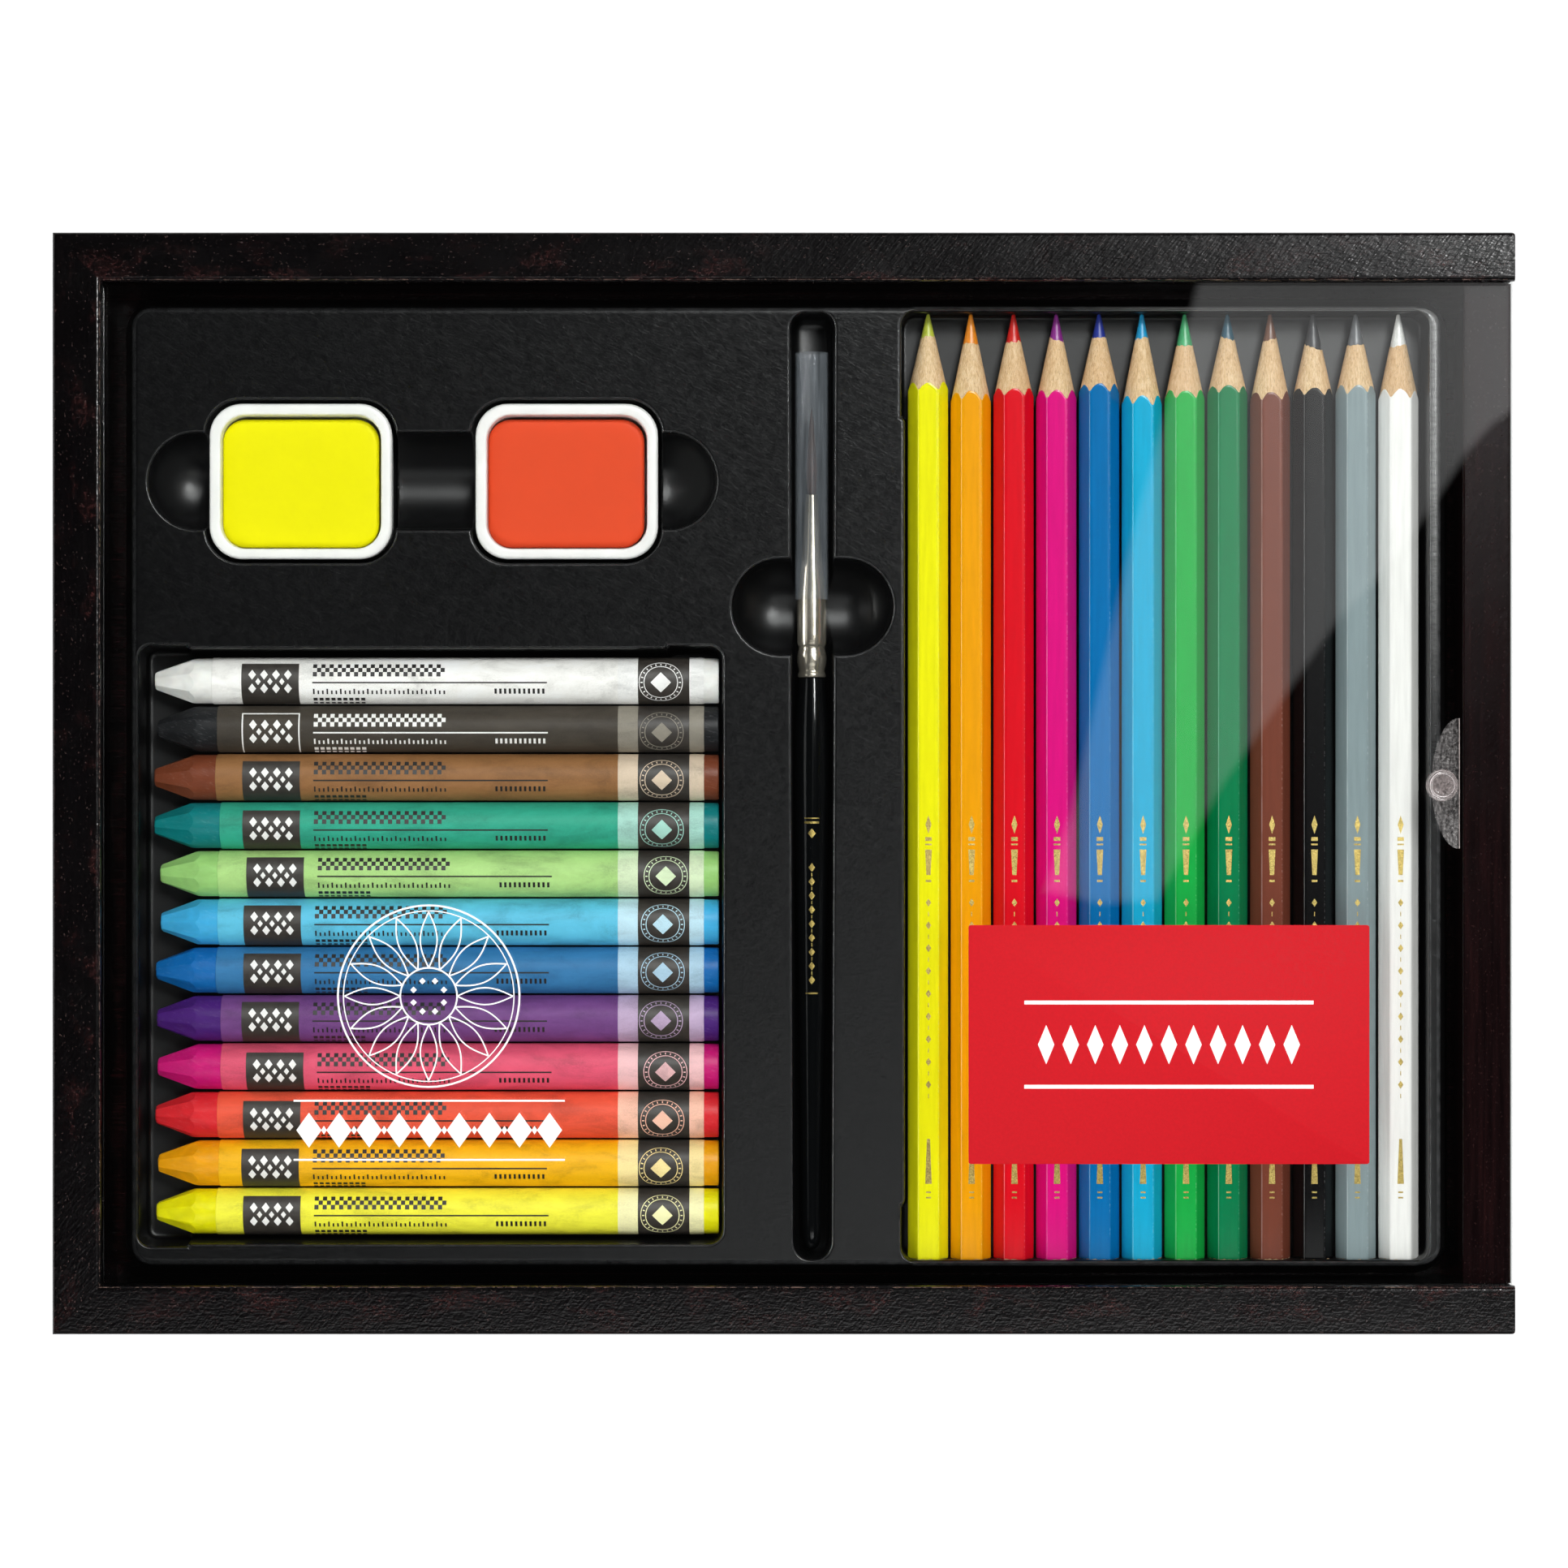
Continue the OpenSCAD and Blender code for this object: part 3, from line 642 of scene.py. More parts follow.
def plates(name, quads, place, mats, body, h0, h1, step=0.7):
    """Thin closed plates on a surface. A quad is ((u, v) x 4, material); place(u, v, h) gives the point."""
    S = Shells()
    for q in quads:
        c, m = q[0], q[1]
        nu = max(1, math.ceil(max(math.dist(c[0], c[1]), math.dist(c[3], c[2])) / step))
        nv = max(1, math.ceil(max(math.dist(c[1], c[2]), math.dist(c[0], c[3])) / step))
        grid = {}
        v = []
        for h in (h0, h1):
            for i in range(nu + 1):
                for j in range(nv + 1):
                    a, b = i / nu, j / nv
                    u = (c[0][0] * (1 - a) + c[1][0] * a) * (1 - b) + (c[3][0] * (1 - a) + c[2][0] * a) * b
                    w = (c[0][1] * (1 - a) + c[1][1] * a) * (1 - b) + (c[3][1] * (1 - a) + c[2][1] * a) * b
                    grid[h, i, j] = len(v)
                    v.append(place(u, w, h))
        f = []
        for i in range(nu):
            for j in range(nv):
                f.append((grid[h1, i, j], grid[h1, i + 1, j], grid[h1, i + 1, j + 1], grid[h1, i, j + 1]))
                f.append((grid[h0, i, j], grid[h0, i, j + 1], grid[h0, i + 1, j + 1], grid[h0, i + 1, j]))
        for i in range(nu):
            f.append((grid[h0, i, 0], grid[h0, i + 1, 0], grid[h1, i + 1, 0], grid[h1, i, 0]))
            f.append((grid[h1, i, nv], grid[h1, i + 1, nv], grid[h0, i + 1, nv], grid[h0, i, nv]))
        for j in range(nv):
            f.append((grid[h1, 0, j], grid[h1, 0, j + 1], grid[h0, 0, j + 1], grid[h0, 0, j]))
            f.append((grid[h0, nu, j], grid[h0, nu, j + 1], grid[h1, nu, j + 1], grid[h1, nu, j]))
        S.extend(v, f, m)
    return add(name, S.v, S.f, mats, S.m, smooth=True, body=body, sharp=30)


def rect(u0, u1, v0, v1, m=0):
    return (((u0, v0), (u1, v0), (u1, v1), (u0, v1)), m)


def lozenge(u, v, a, b, m=0):
    return (((u - a, v), (u, v - b), (u + a, v), (u, v + b)), m)


def line(p, q, w, m=0):
    d = Vector((q[0] - p[0], q[1] - p[1])).normalized() * w / 2
    n = (-d.y, d.x)
    return (((p[0] - n[0], p[1] - n[1]), (q[0] - n[0], q[1] - n[1]), (q[0] + n[0], q[1] + n[1]), (p[0] + n[0], p[1] + n[1])), m)


def arc_quads(cx, cy, r, w, a0=0, a1=360, n=40, m=0, ry=None):
    out = []
    ry = r if ry is None else ry
    for i in range(n):
        a, b = math.radians(a0 + (a1 - a0) * i / n), math.radians(a0 + (a1 - a0) * (i + 1) / n)
        p = [(cx + (r + s) * math.cos(t), cy + (ry + s) * math.sin(t)) for t, s in ((a, -w / 2), (a, w / 2), (b, w / 2), (b, -w / 2))]
        out.append((tuple(p), m))
    return out


def cad_copy(node):
    """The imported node's mesh, in mm, welded, with its flat faces joined."""
    me = bpy.data.objects[frame["nodes"][node].name].data if not isinstance(frame["nodes"], list) else bpy.data.objects[node].data
    me = me.copy()
    old = me.attributes.get("custom_normal")
    if old is not None:
        me.attributes.remove(old)
    bm = bmesh.new()
    bm.from_mesh(me)
    bpy.data.meshes.remove(me)
    bmesh.ops.remove_doubles(bm, verts=bm.verts, dist=2e-6)
    bmesh.ops.scale(bm, vec=(1000, 1000, 1000), verts=bm.verts)
    bmesh.ops.dissolve_limit(bm, angle_limit=math.radians(0.8), verts=bm.verts, edges=bm.edges)
    for fc in bm.faces:
        fc.smooth = False
    return bm


def bm_object(name, bm, mats, body="box", replaces=(), sharp=30):
    """Normals are weighted by area, so that the large flat faces stay flat beside their rounded edges."""
    bmesh.ops.scale(bm, vec=(MM, MM, MM), verts=bm.verts)
    bmesh.ops.recalc_face_normals(bm, faces=bm.faces)
    me = bpy.data.meshes.new(name)
    bm.to_mesh(me)
    bm.free()
    for m in mats:
        me.materials.append(m)
    me.set_sharp_from_angle(angle=math.radians(sharp))
    ob = bpy.data.objects.new(name, me)
    scene.collection.objects.link(ob)
    w = ob.modifiers.new("flat_faces", "WEIGHTED_NORMAL")
    w.mode = "FACE_AREA"
    w.weight = 100
    w.keep_sharp = True
    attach(ob, body)
    if replaces:
        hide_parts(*replaces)
    return ob


# ---------------------------------------------------------------- box of wood
HX, HY, IX, IY = 133.5, 100.6, 124.6, 91.7


def wooden(node, mat, outer, brow, inner):
    """Rounds the outer arrises by outer, the inner top arris by brow and the openings' by inner.
    The middle of the inner top arris gets a pale band: rub wear together with a painted highlight."""
    bm = cad_copy(node)
    sharp = [e for e in bm.edges if len(e.link_faces) == 2 and e.calc_face_angle(0) > math.radians(30)]
    big, top, small = [], [], []
    for e in sharp:
        a, b = (v.co for v in e.verts)
        mid = (a + b) / 2
        mitre = node != "end_right" and abs(abs(mid.y) - HY + (mid.x + HX)) < 0.02 and mid.x < -IX + 4
        butt = node == "end_right" and abs(abs(mid.y) - IY) < 0.02
        groove = 0.5 < mid.z < 4.5
        if mitre or butt or groove:
            continue
        inside = abs(mid.y) < IY + 0.1 if node != "end_left" else abs(mid.x) < IX + 0.1
        if mid.z > 25.9 and inside:
            top.append(e)
        elif abs(abs(mid.y) - HY) < 0.1 or abs(abs(mid.x) - HX) < 0.1 or mid.z < 0.1 or (node == "end_right" and mid.z > 20.9):
            big.append(e)
        else:
            small.append(e)
    made = []
    for group, off, seg in ((top, brow, 5), (big, outer, 3), (small, inner, 2)):
        group = [e for e in group if e.is_valid]
        if group:
            made.append(bmesh.ops.bevel(bm, geom=group, offset=off, offset_type="OFFSET", segments=seg, profile=0.5,
                                        affect="EDGES", material=1, clamp_overlap=True))
    bm.normal_update()
    for fc in bm.faces:
        bevel = fc.material_index == 1
        fc.smooth = bevel
        c, n = fc.calc_center_median(), fc.normal
        flat = math.hypot(n.x, n.y)
        # the middle faces of the inner top arris take the pale band of rub wear and painted highlight
        rub_and_highlight_band = bevel and c.z > 25.4 and 0.66 < n.z < 0.75 and 0.66 < flat < 0.75
        towards = n.y * c.y < -0.3 * abs(c.y) if node != "end_left" else n.x > 0.5
        fc.material_index = 1 if rub_and_highlight_band and towards else 0
    return bm_object(node + "_wood", bm, [mat, WOOD_EDGE_RUB_HIGHLIGHT], replaces=(node,))


wooden("rail_back", WOOD_X, 0.7, 0.9, 0.28)
wooden("rail_front", WOOD_X, 0.7, 0.9, 0.28)
wooden("end_left", WOOD_Y, 0.7, 0.9, 0.28)
wooden("end_right", WOOD_BAR, 0.45, 0.45, 0.45)
bm = cad_copy("base_panel")
bmesh.ops.bevel(bm, geom=list(bm.edges), offset=0.2, segments=1, affect="EDGES")
bm_object("base_panel_wood", bm, [BASE], replaces=("base_panel",))

# ---------------------------------------------------------------- tray
LAND = 17.5


def pocket(floor, lean=4.0, top_r=0.9, foot_r=1.2, land=LAND):
    """Profile of a compartment: [(distance inside its outline, depth)]."""
    d = math.radians(lean)
    th = math.pi / 2 - d
    out = []
    t = top_r * math.tan(th / 2)
    for i in range(7):
        a = th * i / 6
        out.append((-t + top_r * math.sin(a), top_r - top_r * math.cos(a)))
    run = (land - floor) * math.tan(d)
    t2 = foot_r * math.tan(th / 2)
    cx, cz = run + t2, (land - floor) - foot_r
    for i in range(6):
        a = d + (math.pi / 2 - d) * i / 5
        out.append((cx - foot_r * math.cos(a), cz + foot_r * math.sin(a)))
    return out


def bowl(r, top_r=0.5):
    """Profile of a round trough, as deep as its radius, with a small rounded brim."""
    out = [(-top_r * 0.9, 0.0), (-top_r * 0.5, 0.04), (-top_r * 0.2, 0.16), (0.0, 0.34), (0.1, 0.62)]
    for k in range(1, 15):
        a = math.radians(14 + 76 * k / 14)
        out.append((r - r * math.cos(a), max(r * math.sin(a), 0.7)))
    return [p for i, p in enumerate(out) if i == 0 or p[0] > out[i - 1][0] + 0.03]


PANS = {"yellow": (-105.8, -72.1), "orange": (-56.8, -23.1)}
features = []  # (outline, profile, group, axis line or None)
pen = [(22.25, -77.5, 0.7), (22.25, 67.2, 0.7), (21.6, 67.2, 0.5), (21.6, 87.3, 3.0), (118.9, 87.3, 3.0),
       (118.9, -88.3, 3.0), (21.6, -88.3, 3.0), (21.6, -77.5, 0.5)]
features.append((rounded_poly(pen[::-1]), pocket(9.0, 3.0, 0.5, 0.6), 0, None))
pas = [(-119.05, -85.4, 2.6), (-109.5, -85.4, 0.6), (-109.5, -84.85, 0.6), (-11.15, -84.85, 2.6), (-11.15, 25.4, 2.6),
       (-21.6, 25.4, 0.6), (-21.6, 24.9, 0.6), (-109.5, 24.9, 0.6), (-109.5, 25.5, 0.6), (-119.05, 25.5, 2.6)]
features.append((rounded_poly(pas), pocket(7.4, 4.0, 0.5, 1.0), 1, None))
for p in PANS.values():
    features.append((rrect(p[0] - 0.75, p[1] + 0.75, 40.55, 70.75, 6.6, 10), pocket(6.5, 3.0, 0.5, 0.8), 2, None))


def stadium(x0, x1, y, r, n=18):
    out = []
    for cx, a0 in ((x1 - r, -90), (x0 + r, 90)):
        out += [(cx + r * math.cos(math.radians(a0 + 180 * i / n)), y + r * math.sin(math.radians(a0 + 180 * i / n))) for i in range(n + 1)]
    return out


for x0, x1 in ((-117.1, -99.0), (-80.0, -48.0), (-30.0, -12.3)):
    features.append((stadium(x0, x1, 55.7, 9.0), bowl(9.0), 2, ((x0 + 9, 55.7), (x1 - 9, 55.7))))
features.append((stadium(-9.5, 20.2, 32.55, 8.9), bowl(8.9), 3, ((-0.6, 32.55), (11.3, 32.55))))
slot_outline = []
for i in range(19):
    a = math.radians(180 + 180 * i / 18)
    slot_outline.append((5.3 + 3.5 * math.cos(a), -84.4 + 3.5 * math.sin(a)))
for cx, a0 in ((5.3 + 1.1, 0), (5.3 - 1.1, 90)):
    for i in range(8):
        a = math.radians(a0 + 90 * i / 7)
        slot_outline.append((cx + 3.0 * math.cos(a), 83.9 + 3.0 * math.sin(a)))
features.append((slot_outline, pocket(9.5, 3.0, 0.5, 2.2), 3, ((5.3, -84.4), (5.3, 83.9))))
land_outline = rrect(-120.1, 121.1, -88.7, 87.7, 3.7, 10)


def distance(P, outline, closed=True):
    """Signed distance of points to an outline, positive inside."""
    A = np.array(outline)
    B = np.roll(A, -1, axis=0)
    best = np.full(len(P), 1e9)
    inside = np.zeros(len(P), dtype=bool)
    for (ax, ay), (bx, by) in zip(A, B):
        dx, dy = bx - ax, by - ay
        L = dx * dx + dy * dy
        if L < 1e-12:
            continue
        t = np.clip(((P[:, 0] - ax) * dx + (P[:, 1] - ay) * dy) / L, 0, 1)
        d = np.hypot(P[:, 0] - ax - t * dx, P[:, 1] - ay - t * dy)
        best = np.minimum(best, d)
        cross = (ay > P[:, 1]) != (by > P[:, 1])
        with np.errstate(divide="ignore", invalid="ignore"):
            xi = ax + (P[:, 1] - ay) * dx / dy if dy else np.full(len(P), 1e9)
        inside ^= cross & (P[:, 0] < xi)
    return np.where(inside, best, -best)


def offset(outline, d):
    """Moves an outline inwards by d."""
    out = []
    n = len(outline)
    for i in range(n):
        p, a, b = Vector(outline[i]), Vector(outline[i - 1]), Vector(outline[(i + 1) % n])
        u = (p - a).normalized() if (p - a).length > 1e-6 else (b - p).normalized()
        w = (b - p).normalized() if (b - p).length > 1e-6 else u
        t = (u + w).normalized()
        nrm = Vector((-t.y, t.x))
        k = 1 / max(0.5, nrm.dot(Vector((-u.y, u.x))))
        out.append((p.x + nrm.x * d * k, p.y + nrm.y * d * k))
    return out


def make_tray():
    V, E = [], []

    def loop(pts, closed=True):
        k = len(V)
        V.extend(pts)
        n = len(pts)
        E.extend((k + i, k + (i + 1) % n) for i in range(n if closed else n - 1))

    for outline, prof, group, axis in features:
        first, last = prof[0][0], prof[-1][0]
        loop(offset(outline, first - 0.25))
        for d, _ in prof[:-1] if axis else prof:
            loop(offset(outline, d))
        if axis is None:
            loop(offset(outline, last + 0.25))
        else:
            (ax, ay), (bx, by) = axis
            m = max(2, int(math.dist(*axis) / 4))
            loop([(ax + (bx - ax) * i / m, ay + (by - ay) * i / m) for i in range(m + 1)], False)
    # shoulder and skirt
    lean = math.atan2(2.8, 13.5)
    th = math.pi / 2 - lean
    rs = 1.3
    t = rs * math.tan(th / 2)
    skirt = [(t + 0.25, 0.0)]
    for i in range(8):
        a = th * i / 7
        skirt.append((t - rs * math.sin(a), rs - rs * math.cos(a)))
    skirt += [(-0.9, 13.5 * 0.9 / 2.8), (-1.8, 13.5 * 1.8 / 2.8), (-2.75, 13.26)]
    for d, _ in skirt:
        loop(offset(land_outline, d))
    verts = [Vector(p) for p in V]
    vo, eo, fo, *_ = geometry.delaunay_2d_cdt(verts, E, [], 0, 1e-4)
    P = np.array([(v.x, v.y) for v in vo])
    depth = np.zeros(len(P))
    groups = {}
    for outline, prof, group, axis in features:
        d = distance(P, outline)
        dep = np.interp(d, [p[0] for p in prof], [p[1] for p in prof])
        if group in groups:
            g = groups[group]
            k = np.minimum(1.4, 0.6 * np.minimum(g, dep)) + 1e-9
            h = np.maximum(k - np.abs(g - dep), 0) / k
            groups[group] = np.maximum(g, dep) + h * h * k / 4
        else:
            groups[group] = dep
    for g in groups.values():
        depth = np.maximum(depth, g)
    d = distance(P, land_outline)
    xs = [p[0] for p in skirt][::-1]
    depth = np.maximum(depth, np.interp(d, xs, [p[1] for p in skirt][::-1]))
    z = LAND - depth
    # a formed sheet is never quite flat
    for i in range(len(P)):
        z[i] += 0.035 * (noise.noise(Vector((P[i, 0] / 38, P[i, 1] / 38, 3.0)))) if d[i] > 1.4 and depth[i] < 0.001 else 0.0
    top = [(P[i, 0], P[i, 1], z[i]) for i in range(len(P))]
    me = bpy.data.meshes.new("tray_shell")
    me.from_pydata([(x * MM, y * MM, zz * MM) for x, y, zz in top], [], [tuple(f) for f in fo])
    me.update()
    bm = bmesh.new()
    bm.from_mesh(me)
    bmesh.ops.dissolve_degenerate(bm, dist=1e-7, edges=bm.edges)
    for f in bm.faces:
        if f.normal.z < 0:
            f.normal_flip()
        f.smooth = True
    bm.to_mesh(me)
    bm.free()
    me.materials.append(TRAY)
    ob = bpy.data.objects.new("tray_shell", me)
    scene.collection.objects.link(ob)
    s = ob.modifiers.new("sheet", "SOLIDIFY")
    s.thickness = 0.55 * MM
    s.offset = -1.0
    s.use_even_offset = False
    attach(ob, "box")
    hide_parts("tray")
    return ob


tray_ob = make_tray()


# ---------------------------------------------------------------- pans of gouache
def zloop(x0, x1, y0, y1, r, z, n=9):
    return [(x, y, z) for x, y in rrect(x0, x1, y0, y1, r, n)]


for key, (x0, x1) in PANS.items():
    y0, y1 = 41.3, 70.0
    rows = []
    for e, z in ((1.3, 6.5), (0.9, 6.6), (0.62, 7.0), (0.5, 8.5), (0.3, 12), (0.12, 15.4), (0.03, 16.9), (0.05, 17.3), (0.16, 17.62), (0.36, 17.82), (0.62, 17.9)):
        rows.append(zloop(x0 + e, x1 - e, y0 + e, y1 - e, 6.0 - e * 0.6, z))
    a0, a1, b0, b1 = x0 + 2.15, x1 - 2.05, y0 + 1.95, y1 - 2.15
    for e, z in ((-0.42, 17.9), (-0.2, 17.84), (-0.05, 17.68), (0.0, 17.4), (0.04, 16.6), (0.12, 14), (0.25, 9.2), (0.5, 8.4), (1.0, 8.05), (1.6, 8.0)):
        rows.append(zloop(a0 + e, a1 - e, b0 + e, b1 - e, 4.6 - e * 0.5, z))
    v, f, _ = loft(rows)
    add("pan_cup_" + key + "_shell", v, f, [PAN], replaces=("pan_cup_" + key,), sharp=50)
    a0, a1, b0, b1 = x0 + 2.22, x1 - 2.6, y0 + 2.2, y1 - 2.78
    rows = []
    for e, z in ((0.6, 8.02), (0.3, 8.3), (0.2, 10), (0.05, 13.5), (0.0, 14.7), (0.08, 15.15), (0.28, 15.45), (0.6, 15.6), (1.1, 15.66), (2.0, 15.68)):
        rows.append(zloop(a0 + e, a1 - e, b0 + e, b1 - e, 4.2 - e * 0.3, z))
    for k in (0.75, 0.5, 0.25):
        cx, cy = (a0 + a1) / 2, (b0 + b1) / 2
        rows.append([(cx + (x - cx) * k, cy + (y - cy) * k, 15.68 + 0.06 * noise.noise(Vector((x * k / 7, y * k / 7, 1.0 + x0)))) for x, y, z in rows[9]])
    v, f, _ = loft(rows)
    add("paint_" + key + "_block", v, f, [GOUACHE_Y if key == "yellow" else GOUACHE_O], replaces=("paint_" + key,), sharp=60)

# ---------------------------------------------------------------- brush
BX, BZ = 5.2, 12.8


def on_brush(r, a, t):
    return (BX + r * math.sin(a), t, BZ + r * math.cos(a))


HPROF = [(0, -86.2), (0.55, -86.15), (0.95, -85.95), (1.4, -85.3), (1.68, -84.3), (1.78, -82), (1.85, -76), (2.1, -60), (2.5, -38), (2.75, -26),
         (2.95, -15), (3.1, -5), (3.18, 1), (3.18, 6), (3.08, 11), (2.75, 16), (2.5, 18.6), (2.42, 19.4), (2.2, 19.6), (2.2, 32), (0, 32)]


def hr(t):
    return float(np.interp(t, [p[1] for p in HPROF[1:-3]], [p[0] for p in HPROF[1:-3]]))


v, f = lathe(HPROF[:1] + smooth_profile(HPROF[1:-3], passes=1) + HPROF[-3:], on_brush, 56)
add("brush_handle_wood", v, f, [HANDLE], replaces=("brush_handle",), sharp=35)
FPROF = [(2.24, 19.7), (2.56, 19.66), (2.63, 19.8), (2.62, 20.25), (2.5, 20.5), (2.38, 20.75), (2.42, 21.1), (2.62, 21.7), (2.72, 22.4), (2.74, 22.95),
         (2.7, 23.6), (2.6, 24.3), (2.42, 24.9), (2.4, 25.2), (2.55, 25.5), (2.68, 25.9), (2.69, 27), (2.69, 33), (2.62, 34.5), (2.2, 38.4), (1.7, 44.6),
         (1.32, 50.4), (1.12, 53.0), (1.08, 53.4), (0.98, 53.46), (0.88, 53.4), (0.9, 52.6), (1.1, 50), (2.2, 34.5), (2.24, 33.2)]
v, f = ring_lathe(FPROF, on_brush, 56)
add("brush_ferrule_metal", v, f, [NICKEL], replaces=("brush_ferrule",), sharp=40)


def hair_r(t):
    return float(np.interp(t, (44, 53.6, 56, 58, 62, 66.5, 69.4), (0.74, 0.76, 1.0, 1.06, 0.82, 0.42, 0.05)))


S = Shells()
rows = []
for t in [44, 50, 53, 54.5, 56, 57.5, 59, 61, 63, 65, 67, 68.6, 69.3]:
    row = []
    for j in range(40):
        a = 2 * math.pi * j / 40
        k = 0.86 + 0.10 * noise.noise(Vector((math.cos(a) * 3.2, math.sin(a) * 3.2, t / 16)))
        row.append(on_brush(hair_r(t) * k, a, t))
    rows.append(row)
v, f, _ = loft(rows)
S.extend(v, f)
for i in range(110):
    a, q = R.uniform(0, 2 * math.pi), math.sqrt(R.uniform(0.25, 1.0))
    end = 69.6 - 3.4 * q * q * R.random() - R.random() * 1.2
    tw, ph = R.uniform(-0.25, 0.25), R.uniform(-0.06, 0.06)
    rows = []
    for k in range(9):
        t = 52.5 + (end - 52.5) * k / 8
        rr = hair_r(t) * q * 0.96 + ph * (k / 8) ** 2
        w = 0.055 * (1 - 0.75 * (k / 8) ** 1.5)
        c = on_brush(max(rr, 0.0), a + tw * k / 8, t)
        rows.append([(c[0] + w * math.cos(b), c[1], c[2] + w * math.sin(b)) for b in (0, math.pi / 2, math.pi, 3 * math.pi / 2)])
    v, f, _ = loft(rows)
    S.extend(v, f)
add("brush_hair_tuft", S.v, S.f, [HAIR], replaces=("brush_hair",))
SPROF = [(3.02, 34.05), (3.05, 34.1), (3.05, 79.6), (3.03, 79.7), (2.82, 79.7), (2.79, 79.62), (2.79, 34.12), (2.82, 34.05)]
SP = SPROF[:2] + [(3.05 + 0.012 * math.sin(t * 0.8), t) for t in np.linspace(36, 78, 22)] + SPROF[2:6] + [(2.79, t) for t in np.linspace(78, 36, 8)] + SPROF[6:]
v, f = ring_lathe(SP, on_brush, 56)
add("brush_sleeve_tube", v, f, [SLEEVE], body="sleeve", replaces=("brush_sleeve",), sharp=40)


def brush_place(u, w, h):
    r = hr(u) + h
    return on_brush(r, w / hr(u), u)


marks = [rect(-7.4, -7.0, -1.4, 1.4), rect(-6.5, -6.3, -1.4, 1.4), lozenge(-9.2, 0, 0.9, 0.75)]
for k in range(9):
    marks.append(lozenge(-15.5 - 2.6 * k, 0, 0.8, 0.6))
for k in range(8):
    marks.append(rect(-17.1 - 2.6 * k, -16.5 - 2.6 * k, -0.09, 0.09))
marks.append(rect(-38.9, -38.6, -1.2, 1.2))
plates("brush_handle_marks", marks, brush_place, [GOLD], "box", -0.02, 0.015, 0.25)

# ---------------------------------------------------------------- pencils
AF, AC, RHO = 6.62, 7.644, 0.6
PZ = 9.0 + 6.547 / 2
Y0, Y1 = -88.05, 86.9


def hexr(phi):
    """Distance from the axis to a rounded hexagon's side at an angle from a face's middle."""
    p = (phi + math.pi / 6) % (math.pi / 3) - math.pi / 6
    q = abs(p)
    flat = AC / 4 - RHO * math.tan(math.pi / 6)
    if math.tan(q) * AF / 2 <= flat:
        return AF / 2 / math.cos(q)
    d = AC / 2 - RHO / math.cos(math.pi / 6)
    a = math.pi / 6 - q
    return d * math.cos(a) + math.sqrt(max(RHO * RHO - (d * math.sin(a)) ** 2, 0))


